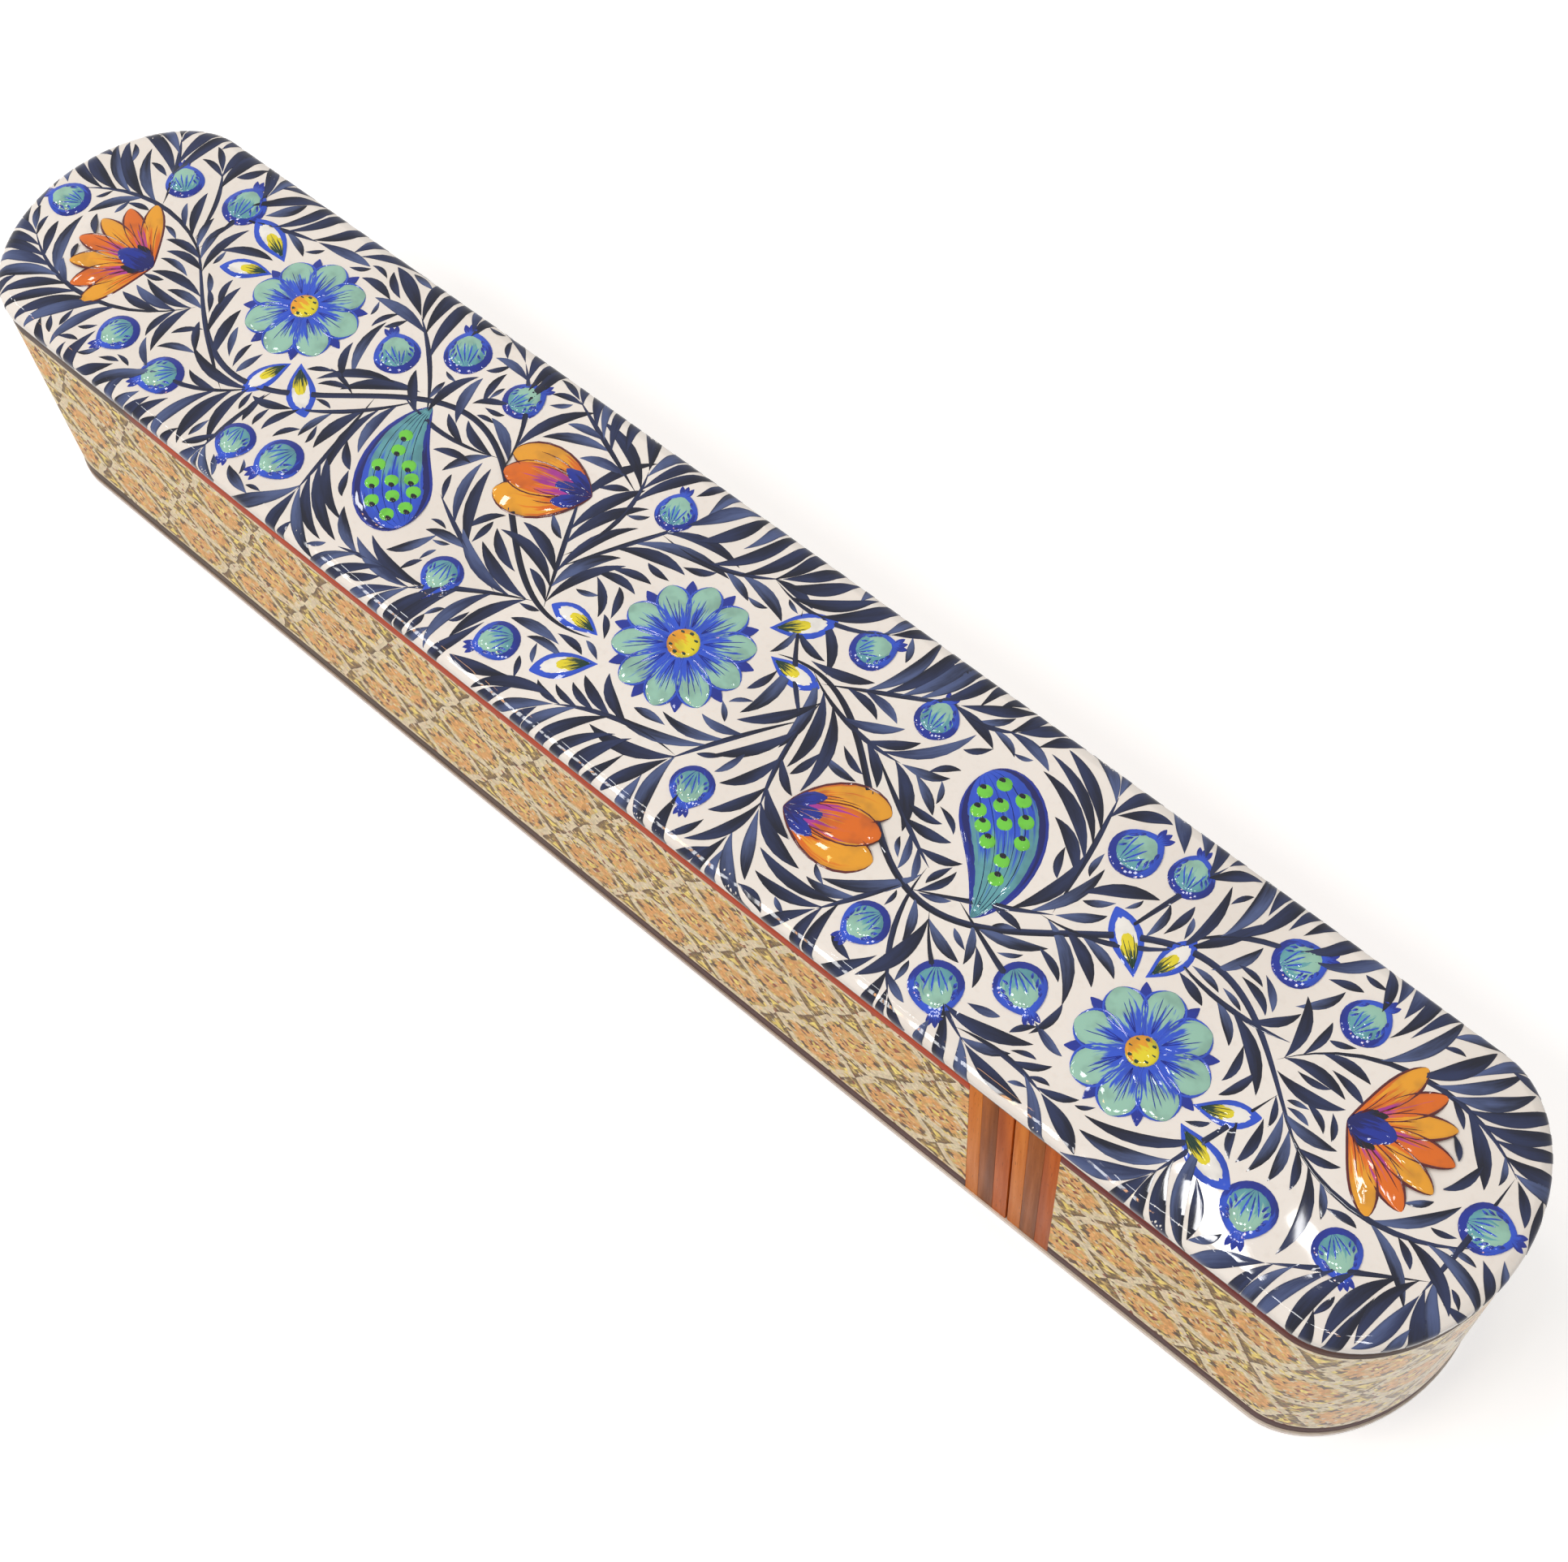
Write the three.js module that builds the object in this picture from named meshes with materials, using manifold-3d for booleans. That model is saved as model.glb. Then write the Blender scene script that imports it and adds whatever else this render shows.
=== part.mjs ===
// A pen case with a sliding drawer, veneered with star marquetry.
// The sheath is a long wooden wall between an ivory top plate and a thin base plate, closed by a
// rounded block at its back end. The drawer's rounded front wall is the other end of the case: it
// slides out between the two plates, with a tray for the pens behind it.
// Sizes are in millimetres. The origin is at the middle of the underside, +X points to the
// drawer's front and +Z up. Left and right are as seen by someone who looks along +X.

import * as THREE from 'three';
import { mergeVertices } from 'three/addons/utils/BufferGeometryUtils.js';
import Module from 'manifold-3d';

const wasm = await Module();
wasm.setup();

// The plan of the case: two long sides that swell a little, and an almost half-round curve at
// each end, which is a superellipse
const caseLength = 249.0;
const endWidth = 41.6;
const sideSwell = 0.75;
const endDepth = 14.9;
const endPower = 1.94;
const endSteps = 36;
const sideSteps = 12;

// The layers, from the underside up
const basePlateThickness = 1.2;
const lowerLineHeight = 2.7;
const marquetryHeight = 32.2;
const upperLineHeight = 2.9;
const topPlateThickness = 2.0;
const baseBoardThickness = 2.6;
const topBoardThickness = 2.8;

// The edges of the two plates
const plateOverhang = 0.2;
const rimRadius = 1.3;
const rimSteps = 5;
const baseEdgeRadius = 0.4;

// The wall and what is glued on it
const veneerThickness = 1.0;
const wallThickness = 4.0;
const endBlockDepth = 16.0;

// The drawer, whose front wall reaches from the end of the case to the joint in the sides
const drawerFrontLength = 53.0;
const traySideThickness = 2.2;
const trayBackThickness = 2.6;
const trayFloorThickness = 2.0;
const trayHeadroom = 0.7;
const liningThickness = 0.8;

// The three strips of wood on each side of the joint, from the back to the front
const amberStripWidth = 2.0;
const walnutStripWidth = 2.4;
const russetStripWidth = 2.2;

// Clearances: what slides keeps the running gap, and curved faces that are glued keep the glue gap
const runningGap = 0.3;
const glueGap = 0.15;

// Heights
const wallBottom = basePlateThickness;
const marquetryBottom = wallBottom + lowerLineHeight;
const marquetryTop = marquetryBottom + marquetryHeight;
const wallTop = marquetryTop + upperLineHeight;
const caseHeight = wallTop + topPlateThickness;
const baseBoardTop = wallBottom + baseBoardThickness;
const topBoardBottom = wallTop - topBoardThickness;
const trayBottom = baseBoardTop + runningGap;
const trayFloorTop = trayBottom + trayFloorThickness;
const trayTop = topBoardBottom - trayHeadroom;
const drawerFrontBottom = wallBottom + runningGap;
const drawerFrontTop = wallTop - runningGap;

// Places along the case
const frontEnd = caseLength / 2;
const backEnd = -caseLength / 2;
const jointX = frontEnd - drawerFrontLength;
const sheathEdge = jointX - runningGap / 2;
const drawerEdge = jointX + runningGap / 2;
const bandWidth = amberStripWidth + walnutStripWidth + russetStripWidth;
const channelBack = backEnd + endBlockDepth;
const trayBack = channelBack + runningGap;

// Depths into the wall from the edge of the plates, and half widths of what lies inside it
const wallInset = plateOverhang + veneerThickness + glueGap;
const cavityInset = wallInset + wallThickness;
const channelHalf = endWidth / 2 - cavityInset;
const trayHalf = channelHalf - runningGap;
const frontCavityHalf = trayHalf + glueGap;
const boardHalf = frontCavityHalf - runningGap;

// How far a block that only cuts reaches past what it cuts
const margin = 5.0;
const farOut = caseLength;

const finishes = {
  ivory: { color: 0xe9e2d6, roughness: 0.12 },
  basePlate: { color: 0xd9cfbd, roughness: 0.35 },
  marquetry: { color: 0xc9b184, roughness: 0.28 },
  redLine: { color: 0x9a4a30, roughness: 0.3 },
  darkLine: { color: 0x5a4a44, roughness: 0.3 },
  amber: { color: 0xc48850, roughness: 0.4 },
  walnut: { color: 0x8f6548, roughness: 0.4 },
  russet: { color: 0xac6740, roughness: 0.4 },
  board: { color: 0x9b6b44, roughness: 0.55 },
  tray: { color: 0xb58655, roughness: 0.5 },
  lining: { color: 0x5c1a22, roughness: 0.95 },
};

const penCase = new THREE.Group();
const sheath = new THREE.Group();
const drawer = new THREE.Group();
penCase.add(sheath, drawer);

// The plan

function swellAt(x) {
  const share = x / frontEnd;
  return sideSwell * (1 - share * share);
}

function planPoint(way, turn) {
  const along = Math.abs(Math.cos(turn)) ** (2 / endPower);
  const across = Math.sign(Math.sin(turn)) * Math.abs(Math.sin(turn)) ** (2 / endPower);
  const x = way * (frontEnd - endDepth + endDepth * along);
  return new THREE.Vector2(x, way * across * (endWidth / 2 + swellAt(x)));
}

function sidePoints(way) {
  const points = [];
  for (let i = 1; i < sideSteps; i += 1) {
    const x = way * (frontEnd - endDepth) * (1 - (2 * i) / sideSteps);
    points.push(new THREE.Vector2(x, way * (endWidth / 2 + swellAt(x))));
  }
  return points;
}

function casePlan() {
  const points = [];
  for (const way of [1, -1]) {
    for (let i = 0; i <= endSteps; i += 1) {
      points.push(planPoint(way, Math.PI * (i / endSteps - 0.5)));
    }
    points.push(...sidePoints(way));
  }
  return points;
}

// The plan drawn in by a distance, each edge staying parallel to its own
function planInset(distance) {
  const points = casePlan();
  const count = points.length;
  const inward = points.map((point, i) => {
    const edge = points[(i + 1) % count].clone().sub(point).normalize();
    return new THREE.Vector2(-edge.y, edge.x);
  });
  return points.map((point, i) => {
    const before = inward[(i + count - 1) % count];
    const bisector = before.clone().add(inward[i]);
    return bisector.multiplyScalar(distance / (1 + before.dot(inward[i]))).add(point);
  });
}

// Solids and booleans

function toSolid(geometry) {
  geometry.deleteAttribute('normal');
  geometry.deleteAttribute('uv');
  const merged = mergeVertices(geometry, 1e-4);
  return new wasm.Manifold(new wasm.Mesh({
    numProp: 3,
    vertProperties: new Float32Array(merged.attributes.position.array),
    triVerts: new Uint32Array(merged.index.array),
  }));
}

function toGeometry(solid) {
  const mesh = solid.getMesh();
  const geometry = new THREE.BufferGeometry();
  geometry.setAttribute('position', new THREE.BufferAttribute(mesh.vertProperties, 3));
  geometry.setIndex(new THREE.BufferAttribute(mesh.triVerts, 1));
  geometry.computeVertexNormals();
  return geometry;
}

function prism(points, bottom, top) {
  const options = { depth: top - bottom, bevelEnabled: false };
  const geometry = new THREE.ExtrudeGeometry(new THREE.Shape(points), options);
  geometry.translate(0, 0, bottom);
  return toSolid(geometry);
}

function block(x, y, z) {
  const geometry = new THREE.BoxGeometry(x[1] - x[0], y[1] - y[0], z[1] - z[0]);
  geometry.translate((x[0] + x[1]) / 2, (y[0] + y[1]) / 2, (z[0] + z[1]) / 2);
  return toSolid(geometry);
}

// Everything between two places along the case, on one side of it or on both
function reach(from, to, side = 0) {
  const y = [side > 0 ? 0 : -farOut, side < 0 ? 0 : farOut];
  return block([from, to], y, [-margin, caseHeight + margin]);
}

function lane(half, from = -farOut, to = farOut) {
  return block([from, to], [-half, half], [-margin, caseHeight + margin]);
}

function addPart(group, name, shape, finish) {
  const geometry = shape.isBufferGeometry ? shape : toGeometry(shape);
  const mesh = new THREE.Mesh(geometry, new THREE.MeshStandardMaterial(finishes[finish]));
  mesh.name = name;
  group.add(mesh);
}

// A plate is a stack of plans, each drawn in by its own distance, with the ends closed
function loft(levels) {
  const rings = levels.map(({ inset }) => planInset(inset));
  const count = rings[0].length;
  const positions = [];
  const faces = [];
  rings.forEach((ring, level) => {
    ring.forEach((point) => positions.push(point.x, point.y, levels[level].z));
  });
  for (let level = 0; level + 1 < levels.length; level += 1) {
    for (let i = 0; i < count; i += 1) {
      const low = level * count + i;
      const lowNext = level * count + ((i + 1) % count);
      faces.push(low, lowNext, lowNext + count, low, lowNext + count, low + count);
    }
  }
  const lastRing = (levels.length - 1) * count;
  for (const [a, b, c] of THREE.ShapeUtils.triangulateShape(rings[0], [])) {
    faces.push(a, c, b);
  }
  for (const [a, b, c] of THREE.ShapeUtils.triangulateShape(rings.at(-1), [])) {
    faces.push(lastRing + a, lastRing + b, lastRing + c);
  }
  const geometry = new THREE.BufferGeometry();
  geometry.setAttribute('position', new THREE.Float32BufferAttribute(positions, 3));
  geometry.setIndex(faces);
  geometry.computeVertexNormals();
  return geometry;
}

// The levels of a quarter-round edge, from its widest level to its flat face
function roundedEdge(radius, steps, edgeZ, way) {
  const levels = [];
  for (let i = 0; i <= steps; i += 1) {
    const turn = (Math.PI / 2) * (i / steps);
    const inset = radius * (1 - Math.cos(turn));
    levels.push({ inset, z: edgeZ + way * radius * Math.sin(turn) });
  }
  return levels;
}

// The plates: the ivory one has a rounded rim all round its face

function topPlate() {
  const rim = roundedEdge(rimRadius, rimSteps, caseHeight - rimRadius, 1);
  return loft([{ inset: 0, z: wallTop }, ...rim]);
}

function basePlate() {
  const edge = roundedEdge(baseEdgeRadius, 2, baseEdgeRadius, -1).reverse();
  return loft([...edge, { inset: 0, z: wallBottom }]);
}

addPart(sheath, 'top_plate', topPlate(), 'ivory');
addPart(sheath, 'base_plate', basePlate(), 'basePlate');

// The boards under the top plate and on the base plate, whose front ends are tongues that the
// drawer's front wall slides off
function board(bottom, top) {
  const plan = prism(planInset(cavityInset + runningGap), bottom, top);
  return plan.intersect(lane(boardHalf, channelBack + glueGap));
}

addPart(sheath, 'top_board', board(topBoardBottom, wallTop), 'board');
addPart(sheath, 'base_board', board(wallBottom, baseBoardTop), 'board');

// The sheath's wall: two sides and a solid rounded end, around a straight channel
function sheathWall() {
  const whole = prism(planInset(wallInset), wallBottom, wallTop);
  const channel = lane(channelHalf, channelBack);
  return whole.intersect(reach(-farOut, sheathEdge)).subtract(channel);
}

addPart(sheath, 'sheath_wall', sheathWall(), 'board');

// The drawer's front wall, bent round the front end of the case
function drawerFrontWall() {
  const whole = prism(planInset(wallInset), drawerFrontBottom, drawerFrontTop);
  const hollow = prism(planInset(cavityInset), 0, caseHeight).intersect(lane(frontCavityHalf));
  return whole.intersect(reach(drawerEdge, farOut)).subtract(hollow);
}

addPart(drawer, 'drawer_front', drawerFrontWall(), 'board');

// A band of veneer all round the case
function veneer(bottom, top) {
  const outside = prism(planInset(plateOverhang), bottom, top);
  const inside = prism(planInset(plateOverhang + veneerThickness), 0, caseHeight);
  return outside.subtract(inside);
}

// What is glued on the sheath's wall and on the drawer's front: the marquetry between an upper and
// a lower line, and the strips of wood at the joint
const skins = [
  {
    group: sheath,
    name: 'sheath',
    veneered: reach(-farOut, sheathEdge - bandWidth),
    bandStart: sheathEdge - bandWidth,
    bottom: wallBottom,
    top: wallTop,
  },
  {
    group: drawer,
    name: 'drawer',
    veneered: reach(drawerEdge + bandWidth, farOut),
    bandStart: drawerEdge,
    bottom: drawerFrontBottom,
    top: drawerFrontTop,
  },
];

const strips = [
  { wood: 'amber', width: amberStripWidth },
  { wood: 'walnut', width: walnutStripWidth },
  { wood: 'russet', width: russetStripWidth },
];

const sides = [
  { side: 1, name: 'left' },
  { side: -1, name: 'right' },
];

function addVeneers({ group, name, veneered, bottom, top }) {
  const marquetry = veneer(marquetryBottom, marquetryTop).intersect(veneered);
  const upper = veneer(marquetryTop, top).intersect(veneered);
  const lower = veneer(bottom, marquetryBottom).intersect(veneered);
  addPart(group, `${name}_marquetry`, marquetry, 'marquetry');
  addPart(group, `${name}_upper_line`, upper, 'redLine');
  addPart(group, `${name}_lower_line`, lower, 'darkLine');
}

function addStrips({ group, name, bandStart, bottom, top }) {
  const band = veneer(bottom, top);
  let start = bandStart;
  for (const { wood, width } of strips) {
    for (const { side, name: sideName } of sides) {
      const strip = band.intersect(reach(start, start + width, side));
      addPart(group, `${name}_${sideName}_${wood}_strip`, strip, wood);
    }
    start += width;
  }
}

for (const skin of skins) {
  addVeneers(skin);
  addStrips(skin);
}

// The tray, whose sides run forward into the hollow of the drawer's front wall

const trayPlan = planInset(cavityInset + glueGap);

function trayFloor() {
  return prism(trayPlan, trayBottom, trayFloorTop).intersect(lane(trayHalf, trayBack));
}

function traySide(side) {
  const inner = side * (trayHalf - traySideThickness);
  const y = [Math.min(inner, side * trayHalf), Math.max(inner, side * trayHalf)];
  const wall = block([trayBack + trayBackThickness, farOut], y, [trayFloorTop, trayTop]);
  return prism(trayPlan, trayFloorTop, trayTop).intersect(wall);
}

function trayBackWall() {
  const x = [trayBack, trayBack + trayBackThickness];
  return block(x, [-trayHalf, trayHalf], [trayFloorTop, trayTop]);
}

function trayLining() {
  const half = trayHalf - traySideThickness - glueGap;
  const plan = prism(trayPlan, trayFloorTop, trayFloorTop + liningThickness);
  return plan.intersect(lane(half, trayBack + trayBackThickness + glueGap));
}

addPart(drawer, 'tray_floor', trayFloor(), 'tray');
for (const { side, name } of sides) {
  addPart(drawer, `tray_${name}_side`, traySide(side), 'tray');
}
addPart(drawer, 'tray_back', trayBackWall(), 'tray');
addPart(drawer, 'tray_lining', trayLining(), 'lining');

export default penCase;
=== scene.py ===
# %% [markdown]
# # A pen case with star marquetry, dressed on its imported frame
# The case is a long wooden box with round ends. Its wall carries a veneer of tiny wooden and bone
# splinters between two lines of wood, its top is an ivory-toned plate with a painted garland under
# thick lacquer, and its round front end draws out with a tray behind it.
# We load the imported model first, because every piece below sits where the model says.

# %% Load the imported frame
import math
import random
from math import atan2, copysign, cos, hypot, pi, radians, sin, tau

import bmesh
import bpy
import numpy as np
from mathutils import Matrix, Vector, noise


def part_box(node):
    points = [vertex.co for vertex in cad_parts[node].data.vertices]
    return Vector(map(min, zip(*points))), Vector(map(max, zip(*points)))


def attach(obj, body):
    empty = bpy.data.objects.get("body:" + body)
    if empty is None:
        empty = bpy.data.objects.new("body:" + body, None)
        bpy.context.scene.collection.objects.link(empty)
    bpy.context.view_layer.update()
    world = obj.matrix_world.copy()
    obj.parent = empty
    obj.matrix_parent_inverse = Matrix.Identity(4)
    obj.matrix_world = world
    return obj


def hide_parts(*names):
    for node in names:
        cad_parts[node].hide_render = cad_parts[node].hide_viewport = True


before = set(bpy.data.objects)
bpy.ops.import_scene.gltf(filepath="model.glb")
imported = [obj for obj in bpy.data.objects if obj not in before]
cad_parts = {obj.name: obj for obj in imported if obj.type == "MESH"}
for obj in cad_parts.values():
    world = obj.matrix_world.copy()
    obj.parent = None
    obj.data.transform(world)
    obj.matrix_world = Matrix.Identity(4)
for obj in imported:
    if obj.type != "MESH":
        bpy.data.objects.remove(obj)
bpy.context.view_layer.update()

# %% [markdown]
# ## Sizes
# The named sizes are those of the model, in metres. Seen from above the case is a long shape with
# sides that swell a little and ends that are superellipses, so one function gives its outline, and
# every plate, band and board is that outline drawn in by its own distance.

# %% Sizes of the case
MM = 0.001
CASE_LENGTH = 249.0 * MM
END_WIDTH = 41.6 * MM
SIDE_SWELL = 0.75 * MM
END_DEPTH = 14.9 * MM
END_POWER = 1.94
WALL_BOTTOM = 1.2 * MM
MARQUETRY_BOTTOM = 3.9 * MM
MARQUETRY_TOP = 36.1 * MM
WALL_TOP = 39.0 * MM
CASE_TOP = 41.0 * MM
PLATE_OVERHANG = 0.2 * MM
VENEER = 1.0 * MM
JOINT_X = 71.5 * MM
RUNNING_GAP = 0.3 * MM
STRIP_WIDTHS = {"amber": 2.0 * MM, "walnut": 2.4 * MM, "russet": 2.2 * MM}
BAND_WIDTH = sum(STRIP_WIDTHS.values())
SHEATH_EDGE = JOINT_X - RUNNING_GAP / 2
DRAWER_EDGE = JOINT_X + RUNNING_GAP / 2


def outline(end_steps=200, side_steps=160):
    """The case seen from above, anticlockwise, as points from the middle of the back end."""
    front = CASE_LENGTH / 2
    points = []
    for way in (-1, 1):
        for step in range(end_steps + 1):
            turn = pi * (step / end_steps - 0.5)
            along = abs(cos(turn)) ** (2 / END_POWER)
            across = copysign(abs(sin(turn)) ** (2 / END_POWER), turn)
            x = way * (front - END_DEPTH + END_DEPTH * along)
            points.append((x, way * across * (END_WIDTH / 2 + SIDE_SWELL * (1 - (x / front) ** 2))))
        for step in range(1, side_steps):
            x = way * (front - END_DEPTH) * (1 - 2 * step / side_steps)
            points.append((x, way * (END_WIDTH / 2 + SIDE_SWELL * (1 - (x / front) ** 2))))
    return np.roll(np.array(points), -(end_steps // 2), axis=0)


def inward_at(points):
    """For each corner of an outline, the way that draws both its edges in by one."""
    edges = np.roll(points, -1, axis=0) - points
    edges /= np.linalg.norm(edges, axis=1, keepdims=True)
    inward = np.c_[-edges[:, 1], edges[:, 0]]
    before = np.roll(inward, 1, axis=0)
    return (inward + before) / (1 + (inward * before).sum(axis=1, keepdims=True))


def closed_round(line):
    """An outline with its first place again at its end, and how far round each place is."""
    closed = np.vstack([line, line[:1]])
    return closed, np.r_[0, np.cumsum(np.linalg.norm(np.diff(closed, axis=0), axis=1))]


PLAN = outline()
INWARD = inward_at(PLAN)
CLOSED_WALL, RUNS = closed_round(PLAN + INWARD * PLATE_OVERHANG)
GIRTH = RUNS[-1]
print("girth of the wall", round(GIRTH * 1000, 1), "mm")


def on_wall(run, height):
    """A place on the veneered wall: run goes round it from the middle of the back end."""
    x, y = (np.interp(run % GIRTH, RUNS, CLOSED_WALL[:, k]) for k in (0, 1))
    return Vector((x, y, height))


def run_to(x):
    """How far round the wall, from the back, its right side comes to a place along the case."""
    half = len(PLAN) // 2
    return float(np.interp(x, CLOSED_WALL[: half + 1, 0], RUNS[: half + 1]))


# %% [markdown]
# ## Camera
# The photograph looks down on the case from the right of its front end. The place and the turn
# come from fitting the outline of the case to its outline in the photograph.

# %% Camera
VIEW_RIGHT = Vector((0.744983, 0.665058, -0.051937))
VIEW_AHEAD = Vector((-0.347799, 0.320798, -0.880979))
VIEW_PLACE = Vector((0.126171, -0.101706, 0.302958))
LENS_LENGTH = 55.383
FILM_WIDTH = 36.0
NEAREST_SEEN = 0.01

stage = bpy.context.scene
lens_data = bpy.data.cameras.new("photo_camera")
lens_data.lens = LENS_LENGTH
lens_data.sensor_width = FILM_WIDTH
lens_data.clip_start = NEAREST_SEEN
camera = bpy.data.objects.new("photo_camera", lens_data)
stage.collection.objects.link(camera)
axes = Matrix((VIEW_RIGHT, VIEW_RIGHT.cross(VIEW_AHEAD), -VIEW_AHEAD)).transposed()
camera.matrix_world = Matrix.Translation(VIEW_PLACE) @ axes.to_4x4()
stage.camera = camera
stage.view_settings.view_transform = "Standard"

# %% [markdown]
# ## Writing materials as sums
# A finish is easier to read as arithmetic than as a web of nodes. A Thread is the output of a
# node, and adding or multiplying threads adds the Math nodes. A Finish is one material, or the
# world: its node method makes any other node, and its mix method blends two colours.


# %% Threads and finishes
class Thread:
    """The output of a node, on which Python's operators work."""

    def __init__(self, finish, socket):
        self.finish = finish
        self.socket = socket

    def sum(self, operation, first, second=None):
        return self.finish.node("Math", {"operation": operation}, {0: first, 1: second})

    def __add__(self, other):
        return self.sum("ADD", self, other)

    def __sub__(self, other):
        return self.sum("SUBTRACT", self, other)

    def __rsub__(self, other):
        return self.sum("SUBTRACT", other, self)

    def __mul__(self, other):
        return self.sum("MULTIPLY", self, other)

    def __abs__(self):
        return self.sum("ABSOLUTE", self)

    __radd__ = __add__
    __rmul__ = __mul__

    def least(self, other):
        return self.sum("MINIMUM", self, other)

    def most(self, other):
        return self.sum("MAXIMUM", self, other)

    def sine(self):
        return self.sum("SINE", self)

    def ramp(self, low, high, start=0.0, end=1.0):
        """A smooth step from start to end while the value goes from low to high."""
        settings = {"interpolation_type": "SMOOTHSTEP"}
        return self.finish.node("MapRange", settings, {0: self, 1: low, 2: high, 3: start, 4: end})


class Finish:
    """A material or the world, with its colours and relief made from nodes."""

    def __init__(self, name, owner=None, shader="Principled BSDF"):
        self.material = owner or bpy.data.materials.new(name)
        self.material.use_nodes = True
        self.tree = self.material.node_tree
        self.shader = self.tree.nodes[shader]

    def node(self, kind, settings=None, inputs=None, output=0):
        made = self.tree.nodes.new("ShaderNode" + kind)
        for key, value in (settings or {}).items():
            setattr(made, key, value)
        for key, value in (inputs or {}).items():
            self.join(made.inputs[key], value)
        return Thread(self, made.outputs[output])

    def join(self, socket, value):
        if isinstance(value, Thread):
            self.tree.links.new(value.socket, socket)
        elif value is not None:
            socket.default_value = value

    def mix(self, share, first, second):
        return self.node("Mix", {"data_type": "RGBA"}, {0: share, 6: first, 7: second}, output=2)

    def place(self):
        return self.node("TexCoord", output="Object")

    def surface_map(self, name):
        return self.node("UVMap", {"uv_map": name})

    def parts(self, vector):
        split = self.node("SeparateXYZ", None, {0: vector})
        return [Thread(self, split.socket.node.outputs[k]) for k in range(3)]

    def along(self):
        """How far a place is towards the front of the case, from its middle."""
        return self.parts(self.place())[0]

    def attribute(self, name, output="Color"):
        return self.node("Attribute", {"attribute_name": name}, output=output)

    def shifted(self, vector, shift):
        return self.node("VectorMath", {"operation": "ADD"}, {0: vector, 1: shift})

    def stretched(self, vector, scale):
        return self.node("VectorMath", {"operation": "MULTIPLY"}, {0: vector, 1: scale})

    def noise(self, vector, scale, detail=2.0, roughness=0.5):
        """Soft random values round a half. Three scales draw them out into fibres."""
        if isinstance(scale, tuple):
            vector, scale = self.stretched(vector, scale), 1.0
        inputs = {"Vector": vector, "Scale": scale, "Detail": detail, "Roughness": roughness}
        return self.node("TexNoise", None, inputs)

    def relief(self, height, distance, strength=1.0, under=None):
        inputs = {"Height": height, "Distance": distance, "Strength": strength, "Normal": under}
        return self.node("Bump", None, inputs)

    def seen_rays(self):
        """One for what the camera sees, also in a mirror or through glass, and zero for light."""
        seen = self.node("LightPath", output="Is Camera Ray")
        for mirrored in ("Is Glossy Ray", "Is Transmission Ray"):
            seen = seen.most(self.node("LightPath", output=mirrored))
        return seen

    def dress(self, **values):
        """Sets or links the shader's own sockets."""
        for key, value in values.items():
            self.join(self.shader.inputs[key.replace("_", " ")], value)
        return self.material


def dye(red, green, blue):
    """A colour given as it looks on a screen, from 0 to 255, as the shader wants it."""
    shares = [c / 255 for c in (red, green, blue)]
    linear = [c / 12.92 if c <= 0.04045 else ((c + 0.055) / 1.055) ** 2.4 for c in shares]
    return (*linear, 1.0)


# %% [markdown]
# ## The studio
# The photograph shows the case on pure white in even, soft light. The lacquer mirrors a long row of
# lights as dashes on the near rim, and one lamp as an uneven patch near the front end. So the world
# is a soft white, a row of narrow lamps hangs on the near side, and small lamps hang where the
# lacquer mirrors them into the camera. The floor is pale, and the camera sees it brighter than it is
# lit, so that it is white around the case's soft shadow. Reflections see that white as well.

# %% Floor
WHITE = (1.0, 1.0, 1.0, 1.0)
BLACK = (0.0, 0.0, 0.0, 1.0)
SEEN_BRIGHTER = (0.46, 0.46, 0.46, 1.0)
FLOOR_HALF = 3.0


def as_object(shape, name, material):
    """Turns a bmesh into an object of the scene that has one material."""
    mesh = bpy.data.meshes.new(name)
    shape.to_mesh(mesh)
    shape.free()
    mesh.materials.append(material)
    made = bpy.data.objects.new(name, mesh)
    stage.collection.objects.link(made)
    return made


floor_finish = Finish("pale_floor")
floor_spots = floor_finish.noise(floor_finish.place(), 30.0)
floor_finish.dress(
    Base_Color=floor_finish.mix(floor_spots, dye(218, 218, 218), dye(224, 224, 224)),
    Roughness=0.9,
    Emission_Color=floor_finish.mix(floor_finish.seen_rays(), BLACK, SEEN_BRIGHTER),
    Emission_Strength=1.0,
)
floor_shape = bmesh.new()
bmesh.ops.create_grid(floor_shape, x_segments=4, y_segments=4, size=FLOOR_HALF)
floor = as_object(floor_shape, "floor", floor_finish.material)

# %% World
WORLD_STRENGTH = 0.44
studio = Finish("studio", bpy.data.worlds.new("studio"), "Background")
stage.world = studio.dress(Color=WHITE, Strength=studio.seen_rays().ramp(0.0, 1.0, WORLD_STRENGTH, 1.0))

# %% One lamp
PLAIN = (1.0, 1.0, 1.0)
WARM = (1.0, 0.5, 0.2)
LENGTHWISE, CROSSWISE = (1.0, 0.0, 0.0), (0.0, 1.0, 0.0)


def add_lamp(name, place, aim, size, radiance, tint=PLAIN, along=LENGTHWISE):
    """A rectangular lamp that faces a place on the case, with its first side along a direction."""
    data = bpy.data.lights.new(name, "AREA")
    data.shape = "RECTANGLE"
    data.size, data.size_y = size
    data.energy = radiance * pi * size[0] * size[1]
    data.color = tint
    back = (Vector(place) - Vector(aim)).normalized()
    upward = back.cross(Vector(along)).normalized()
    turn = Matrix((upward.cross(back), upward, back)).transposed()
    lamp = bpy.data.objects.new(name, data)
    lamp.matrix_world = Matrix.Translation(place) @ turn.to_4x4()
    stage.collection.objects.link(lamp)


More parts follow.
